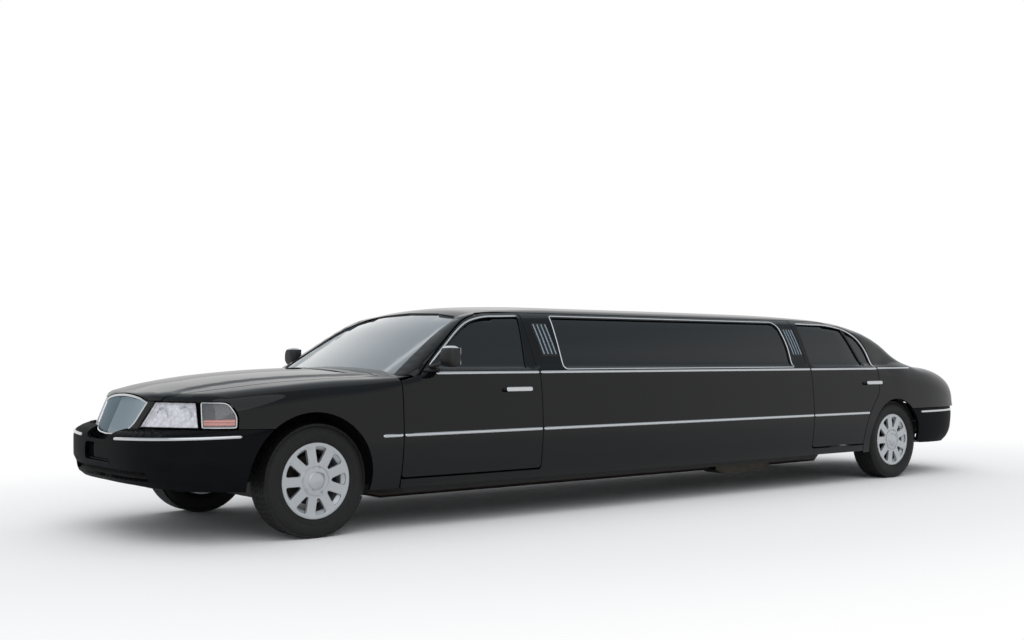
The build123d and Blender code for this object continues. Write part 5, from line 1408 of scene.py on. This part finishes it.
def grille_shapes():
    """Grille: bright frame, dark backing and upright bars."""
    ring = halves(spaced(rounded(GRILLE_RING, False), False, FINE_GAP), (-1, 1))
    skin = sunk(lower, 0.004)
    frame_path = cast(skin, NOSE, shrunk(ring, 0.009))
    rim = sweep(frame_path, normals_of(skin, frame_path), round_section(0.017, 0.012, -0.006, 9))
    back_skin = sunk(lower, 0.016)
    back = panel(back_skin, NOSE, [cast(back_skin, NOSE, shrunk(ring, 0.004))], 0.004, edge=0.0005, step=0.04)
    # Each bar is a blade turned outward from the middle: its bright face shows from its own side of the car.
    bars = []
    bar_skin = sunk(lower, 0.008)
    blade = [(-0.0115, -0.009), (0.0095, 0.002), (0.0115, 0.001), (0.0105, -0.009)]
    z = np.linspace(0.60, 0.90, 40)
    for y in np.arange(0.012, 0.33, 0.024):
        fits = inside(np.stack([np.full(len(z), y), z], 1), [shrunk(ring, 0.016)])
        if fits.sum() < 3:
            continue
        path = cast(bar_skin, NOSE, np.stack([np.full(fits.sum(), y), z[fits]], 1))
        bars.append(sweep(path, normals_of(bar_skin, path), blade, False))
    tray_skin = sunk(lower, 0.040)
    tray = laid(tray_skin, NOSE, oblong(-0.37, 0.585, 0.37, 0.70))
    back = back + panel(tray_skin, NOSE, [tray], 0.004, edge=0.0005, step=0.04)
    return rim, back, joined(bars).both()


grille_rim, grille_back, grille_bars = grille_shapes()
piece("grille_frame", grille_rim, (CHROME,), "body", "grille")
piece("grille_bars", grille_bars, (GRILLE_BLADE,))
piece("grille_backing", grille_back, (TRIM,))

# ------------------------------------------------------------------ lamps
LAMP_CHART = Fan(UP, AHEAD, LEFT, (front(-0.45), -0.22, 0))
HEADLAMP = (
    (front(-0.912), -0.357, 0.686, 0.012), (front(-0.831), -0.405, 0.842, 0.012),
    (front(-0.700), -0.712, 0.843, 0.010), (front(-0.715), -0.790, 0.690, 0.010)
)
MARKER = (
    (front(-0.704), -0.802, 0.692, 0.010), (front(-0.684), -0.740, 0.843, 0.012),
    (front(-0.572), -0.877, 0.842, 0.025), (front(-0.530), -0.920, 0.765, 0.030),
    (front(-0.535), -0.922, 0.692, 0.012)
)
MARKER_LOW = (
    (front(-0.702), -0.806, 0.704, 0.006), (front(-0.690), -0.786, 0.744, 0.004),
    (front(-0.536), -0.918, 0.748, 0.004), (front(-0.541), -0.920, 0.704, 0.010)
)


def shallow_bowl(chart, corners, depth):
    """Tray behind a lamp's lens: its walls and its facetted floor."""
    front_skin, back_skin = sunk(lower, 0.008), sunk(lower, depth)
    rim = points_on(front_skin, chart, corners, 0.006)
    foot = cast(back_skin, chart, chart.uv(rim))
    return band(rim, foot) + panel(back_skin, chart, [foot], 0.002, edge=0.0005, step=0.02)


def dish(middle, radius, depth, way=(-1, -0.25, 0)):
    """Reflector dish open towards a direction, with its bulb."""
    way = unit(np.array(way, float))
    side = unit(np.cross(way, (0, 0, 1.0)))
    other = np.cross(side, way)
    middle = np.array(middle)
    verts = []
    rows, columns = 8, 32
    for i in range(rows + 1):
        r = radius * (0.12 + 0.88 * i / rows)
        for j in range(columns):
            a = 2 * pi * j / columns
            hollow = way * (r * r / radius / radius - 1) * depth
            verts.append(middle + hollow + side * r * cos(a) + other * r * sin(a))
    bulb = rod(middle - way * depth, middle - way * depth * 0.35, radius * 0.13, 16, 0.003)
    return Shape(verts, woven(rows + 1, columns, False)) + bulb


def lamp_shapes():
    """Left headlamp: bowl, dishes, lens, bezel, and the side marker."""
    face = sunk(lower, 0.004)
    loop = points_on(face, LAMP_CHART, HEADLAMP, 0.004)
    marker_loop = points_on(face, LAMP_CHART, MARKER, 0.004)
    lens = panel(face, LAMP_CHART, [loop], 0.003, edge=0.002, step=0.03)
    marker_lens = panel(face, LAMP_CHART, [marker_loop], 0.003, edge=0.002, step=0.03)
    bowls = shallow_bowl(LAMP_CHART, HEADLAMP, 0.026) + shallow_bowl(LAMP_CHART, MARKER, 0.022).painted(1)
    dishes = dish((front(-0.812), -0.476, 0.758), 0.052, 0.040) + dish((front(-0.738), -0.636, 0.764), 0.056, 0.042)
    low_skin = sunk(lower, 0.013)
    low_loop = points_on(low_skin, LAMP_CHART, MARKER_LOW, 0.002)
    amber = panel(low_skin, LAMP_CHART, [low_loop], 0.006, edge=0.001, step=0.03)
    bezel_path = points_on(face, LAMP_CHART, MARKER, 0.003)
    bezel = sweep(bezel_path, normals_of(face, bezel_path), round_section(0.008, 0.004, 0.0))
    return lens + marker_lens, bowls, dishes, amber, bezel


lens_shape, bowl_shape, dish_shape, amber_shape, bezel_shape = lamp_shapes()
piece("headlamp_lenses", lens_shape.both(), (LENS,), "body", "headlamps")
piece("headlamp_bowls", bowl_shape.both(), (BOWL, SEAL))
piece("headlamp_reflectors", dish_shape.both(), (CHROME,))
piece("side_marker_lenses", amber_shape.both(), (AMBER,))
piece("side_marker_bezels", bezel_shape.both(), (CHROME,))


def fascia_shape():
    """Body-colour panel between grille and headlamps."""
    half = spaced(rounded(GRILLE_RING, False), False, FINE_GAP)
    inner = half[(half[:, 1] < 0.868) & (half[:, 1] > 0.640)]
    outer = [(0.20, 0.648), (0.352, 0.648), (0.354, 0.684), (0.402, 0.842), (0.350, 0.844)]
    outline = [(y + 0.003, z) for y, z in inner] + outer
    loop = cast(lower, NOSE, spaced(np.array(outline)))
    return panel(lower, NOSE, [loop], 0.015, edge=0.002, step=0.03)


piece("nose_fascias", fascia_shape().both(), (PAINT,))

TAIL_CHART = Fan(UP, BACK, LEFT, (rear(0.70), -0.30, 0), 1.0)
TAIL_LAMP = (
    (rear(1.40), -0.660, 0.646, 0.02), (rear(1.06), -0.90, 0.646, 0.02), (rear(1.09), -0.90, 0.895, 0.03),
    (rear(1.34), -0.660, 0.895, 0.03)
)
tail_skin = sunk(lower, 0.002)
tail_loop = points_on(tail_skin, TAIL_CHART, TAIL_LAMP, 0.004, 0.02)
tail_lens = panel(tail_skin, TAIL_CHART, [tail_loop], 0.02, edge=0.005, step=0.04)
piece("tail_lamp_lenses", tail_lens.both(), (RED,), "body", "tail_lamps")
tail_bezel = sweep(tail_loop, normals_of(tail_skin, tail_loop), round_section(0.008, 0.004, -0.002))
piece("tail_lamp_bezels", tail_bezel.both(), (CHROME,))
strip_skin = sunk(lower, -0.001)
strip_loop = laid(strip_skin, TAIL, oblong(-0.62, 0.690, 0.62, 0.712, 0.01))
lid_strip = panel(strip_skin, TAIL, [strip_loop], 0.004, edge=0.002, step=0.04)
piece("trunk_lid_strip", lid_strip, (CHROME,), "trunk_lid")


# ------------------------------------------------------------------ wheels and tyres
# Each is made about its own centre, with the outside towards -Y.
RIM_RADIUS = 0.236
wheel_depth = smooth((
    (0.0, 0.010), (0.058, 0.013), (0.064, 0.018), (0.084, 0.019), (0.090, 0.022), (0.15, 0.021), (0.205, 0.019),
    (0.222, 0.015), (0.236, 0.017)
))


def wheel_skin(p):
    """Face of the wheel."""
    return wheel_depth(np.hypot(p[:, 0], p[:, 2])) - p[:, 1]


def ring_points(radius, count=96):
    a = np.linspace(0, 2 * pi, count, endpoint=False)
    return np.stack([radius * np.cos(a), radius * np.sin(a)], 1)


def wheel_window(middle):
    """Opening between two spokes of constant width."""
    half_spoke = 0.031
    rows = []
    for radius, corner in ((0.112, 0.010), (0.207, 0.014)):
        half = radians(20) - np.arcsin(half_spoke / radius)
        rows.append([(radius * cos(middle + s * half), radius * sin(middle + s * half), corner) for s in (-1, 1)])
    (a, b), (d, c) = rows
    top = [(0.212 * cos(middle), 0.212 * sin(middle), 0.02)]
    return [a, b, c, *top, d]


def wheel_shapes():
    """Left wheel: cast face with nine spokes, barrel, cap and the ring groove round it."""
    loops = [cast(wheel_skin, SIDE, ring_points(RIM_RADIUS))]
    for number in range(9):
        middle = radians(160 - 40 * number)
        loops.append(cast(wheel_skin, SIDE, spaced(rounded(wheel_window(middle)), True, 0.010)))
    face = panel(wheel_skin, SIDE, loops, 0.024, edge=0.004, step=0.020)
    barrel = lathe((
        (0.232, 0.020), (0.236, 0.026), (0.226, 0.040), (0.205, 0.060), (0.200, 0.190), (0.222, 0.205),
        (0.222, 0.212), (0.196, 0.205), (0.192, 0.050)
    ))
    cap = lathe(
        ((0.0, 0.002), (0.020, 0.003), (0.045, 0.007), (0.056, 0.013), (0.057, 0.020), (0.0, 0.020)), 64, False
    )
    groove = lathe(((0.088, 0.0175), (0.0905, 0.0155), (0.093, 0.0175), (0.0905, 0.024)), 72)
    return face + barrel + cap + groove


def tyre_shape():
    """Tyre carcass: beads, sidewalls with a raised ring, shoulders and the tread's ground."""
    w = TYRE_WIDTH
    section = (
        (0.229, 0.030),
        (0.240, 0.019),
        (0.252, 0.012),
        (0.257, 0.0085),
        (0.259, 0.0060),
        (0.263, 0.0060),
        (0.265, 0.0075),
        (0.285, 0.0015),
        (0.303, 0.0008),
        (0.322, 0.0055),
        (0.336, 0.0160),
        (0.3425, 0.0290),
        (0.3440, 0.0450),
        (0.3440, w / 2),
    )
    other = [(r, w - y) for r, y in reversed(section[:-1])]
    inner = [
        (0.229, w - 0.040), (0.250, w - 0.045), (0.330, w - 0.040), (0.330, 0.040), (0.250, 0.045), (0.229, 0.040)
    ]
    return lathe([*section, *other, *inner], 128)


def tread_pattern(name, rows, radius, height):
    """Geometry Nodes: rings of tread blocks from (count, y, length, width, skew) rows."""
    group = bpy.data.node_groups.new(name, "GeometryNodeTree")
    group.interface.new_socket("Geometry", in_out="INPUT", socket_type="NodeSocketGeometry")
    radius_in = group.interface.new_socket("Radius", in_out="INPUT", socket_type="NodeSocketFloat")
    height_in = group.interface.new_socket("Height", in_out="INPUT", socket_type="NodeSocketFloat")
    group.interface.new_socket("Geometry", in_out="OUTPUT", socket_type="NodeSocketGeometry")
    start = node(group, "NodeGroupInput")
    join = node(group, "GeometryNodeJoinGeometry")
    for count, y, length, width, skew in rows:
        circle = node(
            group, "GeometryNodeMeshCircle", inputs={"Vertices": count}, links={"Radius": (start, "Radius")}
        )
        size = node(group, "ShaderNodeCombineXYZ", inputs={"X": length, "Y": width}, links={"Z": (start, "Height")})
        cube = node(group, "GeometryNodeMeshCube", links={"Size": (size, "Vector")})
        turn = node(group, "FunctionNodeInputVector")
        turn.vector = (0, 0, skew)
        twisted = node(
            group, "GeometryNodeTransform", links={"Geometry": (cube, "Mesh"), "Rotation": (turn, "Vector")}
        )
        place = node(group, "GeometryNodeInputPosition")
        to_outside = node(
            group, "FunctionNodeAlignRotationToVector", {"axis": "Z", "pivot_axis": "AUTO"},
            links={"Vector": (place, "Position")}
        )
        laid_down = node(
            group, "GeometryNodeTransform", inputs={"Rotation": (pi / 2, 0, 0), "Translation": (0, y, 0)},
            links={"Geometry": (circle, "Mesh")}
        )
        flat = node(
            group, "ShaderNodeVectorMath", {"operation": "MULTIPLY"}, {1: (1, 0, 1)}, {0: (place, "Position")}
        )
        group.links.new(flat.outputs["Vector"], to_outside.inputs["Vector"])
        copies = node(
            group, "GeometryNodeInstanceOnPoints",
            links={
                "Points": (laid_down, "Geometry"), "Instance": (twisted, "Geometry"),
                "Rotation": (to_outside, "Rotation")
            }
        )
        group.links.new(copies.outputs["Instances"], join.inputs["Geometry"])
    real = node(group, "GeometryNodeRealizeInstances", links={"Geometry": (join, "Geometry")})
    material = node(group, "GeometryNodeSetMaterial", links={"Geometry": (real, "Geometry")})
    material.inputs["Material"].default_value = RUBBER
    end = node(group, "NodeGroupOutput")
    group.links.new(material.outputs["Geometry"], end.inputs["Geometry"])
    return group, {radius_in.identifier: radius, height_in.identifier: height}


def grown_from(group, values, name):
    """Shape that a node group makes."""
    holder = bpy.data.objects.new(name, bpy.data.meshes.new(name))
    bpy.context.scene.collection.objects.link(holder)
    modifier = holder.modifiers.new("pattern", "NODES")
    modifier.node_group = group
    for key, value in values.items():
        modifier[key] = value
    holder.update_tag()
    made = bpy.data.meshes.new_from_object(holder.evaluated_get(bpy.context.evaluated_depsgraph_get()))
    verts = np.array([tuple(v.co) for v in made.vertices])
    faces = [tuple(f.vertices) for f in made.polygons]
    bpy.data.objects.remove(holder)
    return Shape(verts, faces)


TREAD_HEIGHT = 0.018
TREAD_ROWS = (
    (66, 0.033, 0.0305, 0.029, 0.04),
    (60, 0.065, 0.0335, 0.027, -0.12),
    (60, 0.097, 0.0335, 0.027, 0.12),
    (60, 0.129, 0.0335, 0.027, -0.12),
    (60, 0.161, 0.0335, 0.027, 0.12),
    (66, 0.193, 0.0305, 0.029, -0.04),
)
tread_group, tread_values = tread_pattern(
    "tread_ring", TREAD_ROWS, TYRE_RADIUS - TREAD_HEIGHT / 2 - 0.0006, TREAD_HEIGHT
)
tread = grown_from(tread_group, tread_values, "tread")
wheel_left = wheel_shapes()
tyre_left = tyre_shape() + tread
DISC_FACES = ((0.118, 0.124), (0.132, 0.138))
disc = joined([lathe(((0.060, a), (0.150, a), (0.150, b), (0.060, b)), 72) for a, b in DISC_FACES])
hat = lathe(((0.0, 0.056), (0.078, 0.056), (0.080, 0.118), (0.060, 0.140), (0.0, 0.140)), 48, False)
caliper = block((0.075, 0.085, -0.070), (0.168, 0.170, 0.070), 0.012)
wheel_places = (("front", FRONT_AXLE_X, FRONT_FACE_Y), ("rear", REAR_AXLE_X, REAR_FACE_Y))
for end, axle_x, face_y in wheel_places:
    for side, turned in sides():
        at = (axle_x, -face_y, AXLE_Z)
        rides = f"{end}_wheel_{side}"
        piece(f"{end}_rim_{side}", turned(wheel_left.moved(at)), (SILVER,), rides, f"{end}_wheel_{side}")
        piece(
            f"{end}_tyre_tread_{side}", turned(tyre_left.moved(at)), (RUBBER,), rides, f"{end}_tyre_{side}"
        )
        piece(f"{end}_brake_disc_{side}", turned((disc + hat).moved(at)), (IRON,), rides)
        holder = f"knuckle_{side}" if end == "front" else "body"
        piece(f"{end}_caliper_{side}", turned(caliper.moved(at)), (IRON,), holder)


# ------------------------------------------------------------------ cabin upholstery
def inset(profile, by):
    """A convex profile, its corners listed anticlockwise or clockwise, drawn in by a distance."""
    spots = np.array(profile, float)
    middle = spots.mean(axis=0)
    lines = []
    for here, there in zip(spots, np.roll(spots, -1, axis=0)):
        along = unit(there - here)
        inward = np.array((-along[1], along[0]))
        if inward @ (middle - here) < 0:
            inward = -inward
        lines.append((inward, inward @ here + by))
    corners = zip([lines[-1], *lines[:-1]], lines)
    return [np.linalg.solve(np.array((a[0], b[0])), np.array((a[1], b[1]))) for a, b in corners]


def bolster(profile, axis, low, high):
    """Closed prism of a profile: along Y with axis 1, or along X with axis 0."""
    corners = [(u, low, z) if axis == 1 else (low, u, z) for u, z in profile]
    corners += [(u, high, z) if axis == 1 else (high, u, z) for u, z in profile]
    count = len(profile)
    faces = [list(range(count)), list(range(count, 2 * count))[::-1]]
    faces += [[i, i + count, (i + 1) % count + count, (i + 1) % count] for i in range(count)]
    return squared_up([tuple(map(float, corner)) for corner in corners], faces)


def squared_up(verts, faces):
    """The same shell with all its faces turned outwards."""
    mesh = bmesh.new()
    made = [mesh.verts.new(v) for v in verts]
    for face in faces:
        mesh.faces.new([made[i] for i in face])
    bmesh.ops.recalc_face_normals(mesh, faces=mesh.faces[:])
    mesh.verts.index_update()
    shape = Shape([tuple(v.co) for v in mesh.verts], [[v.index for v in f.verts] for f in mesh.faces])
    mesh.free()
    return shape


def cushion(name, profile, axis, low, high, fill, seams, replaced):
    """Start of a cushion: the room it has, less the depth that its stuffing will blow out."""
    core = bolster(inset(profile, CUSHION_SWELL + 0.001), axis, low + CUSHION_SWELL, high - CUSHION_SWELL)
    mesh = bpy.data.meshes.new(name)
    mesh.from_pydata([tuple(v) for v in core.verts], [], core.faces)
    made = bpy.data.objects.new(name, mesh)
    bpy.context.scene.collection.objects.link(made)
    return made, fill, seams, replaced


def upholstered(rows):
    """Blows up every cushion at once, caps how far it moved, and covers it in leather."""
    made = [cushion(*row) for row in rows]
    for item, _, seams, _ in made:
        build = item.modifiers.new("skin", "REMESH")
        build.mode, build.voxel_size = "VOXEL", CUSHION_VOXEL
        graph = bpy.context.evaluated_depsgraph_get()
        solid = bpy.data.meshes.new_from_object(item.evaluated_get(graph))
        item.modifiers.clear()
        item.data = solid
        cloth = item.modifiers.new("cloth", "CLOTH")
        cloth.settings.quality = 4
        cloth.settings.mass = CLOTH_MASS
        cloth.settings.use_pressure = True
        cloth.settings.uniform_pressure_force = CUSHION_PRESSURE
        cloth.settings.effector_weights.gravity = 0.0
        cloth.point_cache.frame_start, cloth.point_cache.frame_end = 1, CUSHION_FRAMES
        group = item.vertex_groups.new(name="seams")
        group.add(stitched(item.data, seams), 1.0, "REPLACE")
        cloth.settings.vertex_group_mass = "seams"
    for frame_number in range(1, CUSHION_FRAMES + 1):
        bpy.context.scene.frame_set(frame_number)
    graph = bpy.context.evaluated_depsgraph_get()
    blown = [bpy.data.meshes.new_from_object(item.evaluated_get(graph)) for item, *_ in made]
    bpy.context.scene.frame_set(1)
    for (item, fill, _, replaced), mesh in zip(made, blown):
        start, end = spots_of(item.data), spots_of(mesh)
        move = end - start
        far = np.linalg.norm(move, axis=1, keepdims=True)
        held = start + move * np.minimum(1, CUSHION_SWELL / np.maximum(far, 1e-9))
        mesh.vertices.foreach_set("co", held.ravel())
        item.modifiers.clear()
        item.data = mesh
        smooth = item.modifiers.new("smooth", "SUBSURF")
        smooth.levels = smooth.render_levels = 1
        graph = bpy.context.evaluated_depsgraph_get()
        fine = bpy.data.meshes.new_from_object(item.evaluated_get(graph))
        item.modifiers.clear()
        item.data = fine
        fine.materials.clear()
        fine.materials.append(LEATHER)
        fine.polygons.foreach_set("use_smooth", np.ones(len(fine.polygons), bool))
        fine.update()
        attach(item, "body")
        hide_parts(replaced)


def spots_of(mesh):
    """The places of a mesh's points, one row each."""
    spots = np.zeros(len(mesh.vertices) * 3)
    mesh.vertices.foreach_get("co", spots)
    return spots.reshape(-1, 3)


def stitched(mesh, seams):
    """Points along the lines of stitching across the cushion, which the stuffing doesn't move."""
    spots = spots_of(mesh)
    held = np.zeros(len(spots), bool)
    for axis, place in seams:
        held |= np.abs(spots[:, axis] - place) < CUSHION_VOXEL * 0.8
    return [int(i) for i in np.where(held)[0]]


CUSHION_VOXEL = 0.018
CUSHION_FRAMES = 16
CUSHION_SWELL = 0.014
CUSHION_PRESSURE = 4.0
CLOTH_MASS = 0.3
SEAT_FILL = 0.7
HEADREST_FILL = 0.8
SEAT_SEAM = 0.135
BENCH_SEAM = 0.21
SIDE_SEAM = 0.448
PLINTH_Z = 0.342
PLINTH_TOP_Z = 0.515

# Front seats, as profiles in x and z.
SEAT_CUSHION = ((front(1.203), 0.520), (front(1.203), 0.606), (front(1.552), 0.584), (front(1.590), 0.520))
SEAT_BACK = (
    (front(1.575), 0.588), (front(1.692), 1.088), (front(1.824), 1.083), (front(1.744), 0.545),
    (front(1.615), 0.545)
)
HEADREST = ((front(1.694), 1.096), (front(1.712), 1.218), (front(1.788), 1.221), (front(1.824), 1.096))
SEAT_Y = 0.385
SEAT_HALF = 0.262
TUNNEL_HALF = 0.197
HEADREST_HALF = 0.147
cushions, plinths = [], []
for side, y in (("left", -SEAT_Y), ("right", SEAT_Y)):
    seams = ((1, y - SEAT_SEAM), (1, y + SEAT_SEAM))
    low, high = y - SEAT_HALF, y + SEAT_HALF
    cushions.append((f"front_seat_cushion_{side}", SEAT_CUSHION, 1, low, high, SEAT_FILL, seams, "front_seats"))
    cushions.append((f"front_seat_back_{side}", SEAT_BACK, 1, low, high, SEAT_FILL, seams, "front_seats"))
    low, high = y - HEADREST_HALF, y + HEADREST_HALF
    cushions.append((f"front_seat_headrest_{side}", HEADREST, 1, low, high, HEADREST_FILL, (), "front_seats"))
    out = np.sign(y)
    low, high = sorted((y - out * (SEAT_Y - TUNNEL_HALF), y + out * (SEAT_HALF - 0.02)))
    plinths.append(block((front(1.232), low, PLINTH_Z), (front(1.720), high, PLINTH_TOP_Z), 0.012))
# Rear bench, as profiles in x and z. The floor rises under it.
BENCH_CUSHION = ((rear(-0.884), 0.556), (rear(-0.878), 0.617), (rear(-0.428), 0.597), (rear(-0.440), 0.556))
BENCH_BACK = (
    (rear(-0.414), 0.604), (rear(-0.299), 1.058), (rear(-0.203), 1.066), (rear(-0.134), 0.940),
    (rear(-0.134), 0.558), (rear(-0.400), 0.558)
)
BENCH_FOOT = ((rear(-0.876), 0.342), (rear(-0.846), 0.342), (rear(-0.660), 0.545), (rear(-0.872), 0.545))
BENCH_HALF = 0.626
bench_seams = tuple((1, BENCH_SEAM * n) for n in range(-2, 3))
bench = (1, -BENCH_HALF, BENCH_HALF, SEAT_FILL, bench_seams, "passenger_seats")
cushions += [("rear_bench_cushion", BENCH_CUSHION, *bench), ("rear_bench_back", BENCH_BACK, *bench)]
plinths += [bolster(BENCH_FOOT, 1, low, high) for low, high in ((-0.60, -0.20), (0.20, 0.60))]
# Side seat along the right wall, as profiles in y and z.
SIDE_CUSHION = ((0.220, 0.524), (0.229, 0.597), (0.610, 0.587), (0.610, 0.524))
SIDE_BACK = ((0.627, 0.592), (0.683, 0.956), (0.737, 0.961), (0.812, 0.600), (0.812, 0.530), (0.627, 0.530))
SIDE_ENDS = (front(2.512), rear(-1.293))
side_seams = tuple((0, SIDE_ENDS[0] + SIDE_SEAM * n) for n in range(1, 5))
along = (0, *SIDE_ENDS, SEAT_FILL, side_seams, "passenger_seats")
cushions += [("side_seat_cushion", SIDE_CUSHION, *along), ("side_seat_back", SIDE_BACK, *along)]
plinths.append(block((SIDE_ENDS[0] + 0.02, 0.245, PLINTH_Z), (SIDE_ENDS[1] - 0.02, 0.800, PLINTH_TOP_Z), 0.012))
upholstered(cushions)
piece("front_seat_plinths", plinths[0] + plinths[1], (TRIM,), replaces=("front_seats",))
rear_plinths = plinths[2] + plinths[3] + plinths[4]
piece("passenger_seat_plinths", rear_plinths, (TRIM,), replaces=("passenger_seats",))

# Deck between the back glass and the trunk lid.
deck_rows = left_y(
    ((rear(0.300), 0.0), (rear(0.300), 0.60), (rear(0.335), 0.755), (rear(0.436), 0.735), (rear(0.436), 0.0))
)
deck = cast(lower, TOP, spaced(rounded(deck_rows, False), False))
piece("tulip_panel", panel(lower, TOP, [halves(deck)], 0.012, edge=0.002, step=0.04), (PAINT,))

# Finishes of the CAD parts that are shown as they are.
CAD_FINISHES = (
    (
        CHASSIS,
        ("frame_front", "frame_middle", "frame_rear", "front_suspension", "rear_axle", "radiator", "trunk_well")
    ),
    (IRON, ("engine", "transmission", "knuckle_left", "knuckle_right")),
    (STEEL, ("exhaust", "drive_shaft")),
    (LINER, ("front_wheelhouses", "bulkhead")),
    (CARPET, ("floor_pan",)),
    (TRIM, ("dashboard", "partition")),
    (LEATHER, ("steering_wheel",)),
    (WALNUT, ("bar_cabinet",)),
)
for material, names in CAD_FINISHES:
    for name in names:
        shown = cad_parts[name]
        shown.data.materials.clear()
        shown.data.materials.append(material)

# Splash shield across the nose, ahead of the front wheels.
piece("nose_splash_shield", block((front(-0.462), -0.42, 0.36), (front(-0.456), 0.42, 0.62), 0.001), (LINER,))


# ------------------------------------------------------------------ studio
CAMERA_PLACE = (front(-3.742), -7.501, 1.112)
CAMERA_YAW = 38.70
CAMERA_PITCH = 1.744
CAMERA_LENS = 42.69
CAMERA_SENSOR = 36.0
# The sky that shows: its tones at the horizon and overhead, and the span of Z over which it changes.
HORIZON, ZENITH = "#ffffff", "#b9c4cc"
SKY_SPAN = (0.30, 0.60)
LIGHT, LIGHT_STRENGTH = "#eef1f5", 0.60
FLOOR_FADE = (2.7, 5.0)
LAMPS = (("overcast_key", (-0.45, -0.55, 1.0), 1.10), ("overcast_back", (0.6, 0.8, 1.0), 0.45))
LAMP_SPREAD = 75


def seen_rays(tree):
    """One for camera, mirror and see-through rays, nought for the rest."""
    path = node(tree, "ShaderNodeLightPath")
    larger = {"operation": "MAXIMUM"}
    glossy = node(tree, "ShaderNodeMath", larger, (), {0: (path, "Is Camera Ray"), 1: (path, "Is Glossy Ray")})
    return node(tree, "ShaderNodeMath", larger, (), {0: (glossy, "Value"), 1: (path, "Is Transmission Ray")})


def surroundings():
    """World: one sky for the rays that see it, and a plain light for the rest."""
    world = bpy.data.worlds.new("studio_surroundings")
    bpy.context.scene.world = world
    world.use_nodes = True
    tree = world.node_tree
    place = node(tree, "ShaderNodeTexCoord")
    height = node(tree, "ShaderNodeSeparateXYZ", links={"Vector": (place, "Generated")})
    span = {"From Min": SKY_SPAN[0], "From Max": SKY_SPAN[1]}
    climb = node(tree, "ShaderNodeMapRange", inputs=span, links={"Value": (height, "Z")})
    tones = {6: linear(HORIZON), 7: linear(ZENITH)}
    sky = node(tree, "ShaderNodeMix", {"data_type": "RGBA"}, tones, {0: (climb, "Result")})
    seen = tree.nodes["Background"]
    tree.links.new(sky.outputs[2], seen.inputs["Color"])
    light = node(tree, "ShaderNodeBackground", inputs={"Color": linear(LIGHT), "Strength": LIGHT_STRENGTH})
    ends = {0: (seen_rays(tree), "Value"), 1: (light, "Background"), 2: (seen, "Background")}
    both = node(tree, "ShaderNodeMixShader", links=ends)
    tree.links.new(both.outputs["Shader"], tree.nodes["World Output"].inputs["Surface"])


def floor_finish():
    """Matt white floor that keeps the shadow and fades to plain white far out, for the rays that see it."""
    made = finish("matt_white_floor", Roughness=1.0, Specular_IOR_Level=0.0, Base_Color=linear("#fdfdfd"))
    tree = made.node_tree
    place = node(tree, "ShaderNodeTexCoord")
    stretched = node(
        tree, "ShaderNodeMapping", inputs={"Scale": (0.55, 1.0, 1.0)}, links={"Vector": (place, "Object")}
    )
    away = node(tree, "ShaderNodeVectorMath", {"operation": "LENGTH"}, links={0: (stretched, "Vector")})
    span = {"From Min": FLOOR_FADE[0], "From Max": FLOOR_FADE[1]}
    far = node(tree, "ShaderNodeMapRange", {"interpolation_type": "SMOOTHSTEP"}, span, {"Value": (away, "Value")})
    ends = {0: (far, "Result"), 1: (seen_rays(tree), "Value")}
    share = node(tree, "ShaderNodeMath", {"operation": "MULTIPLY"}, links=ends)
    glow = node(tree, "ShaderNodeEmission", inputs={"Color": (1, 1, 1, 1), "Strength": 1.0})
    ends = {0: (share, "Value"), 1: (tree.nodes[SHADER], "BSDF"), 2: (glow, "Emission")}
    blend = node(tree, "ShaderNodeMixShader", links=ends)
    tree.links.new(blend.outputs["Shader"], tree.nodes["Material Output"].inputs["Surface"])
    return made


def studio():
    """Pale floor, white surroundings, soft lamps and the camera."""
    surroundings()
    bpy.ops.mesh.primitive_plane_add(size=120, location=(0, 0, 0))
    floor = bpy.context.object
    floor.name = "studio_floor"
    floor.data.materials.append(floor_finish())
    for name, place, strength in LAMPS:
        data = bpy.data.lights.new(name, "SUN")
        data.energy, data.angle = strength, radians(LAMP_SPREAD)
        lamp = bpy.data.objects.new(name, data)
        lamp.rotation_euler = Vector(place).to_track_quat("Z", "Y").to_euler()
        bpy.context.scene.collection.objects.link(lamp)
    data = bpy.data.cameras.new("camera")
    data.lens, data.sensor_width = CAMERA_LENS, CAMERA_SENSOR
    camera = bpy.data.objects.new("camera", data)
    camera.location = CAMERA_PLACE
    camera.rotation_euler = (radians(90 + CAMERA_PITCH), 0, -radians(CAMERA_YAW))
    bpy.context.scene.collection.objects.link(camera)
    bpy.context.scene.camera = camera
    bpy.context.scene.view_settings.view_transform = "Standard"


studio()
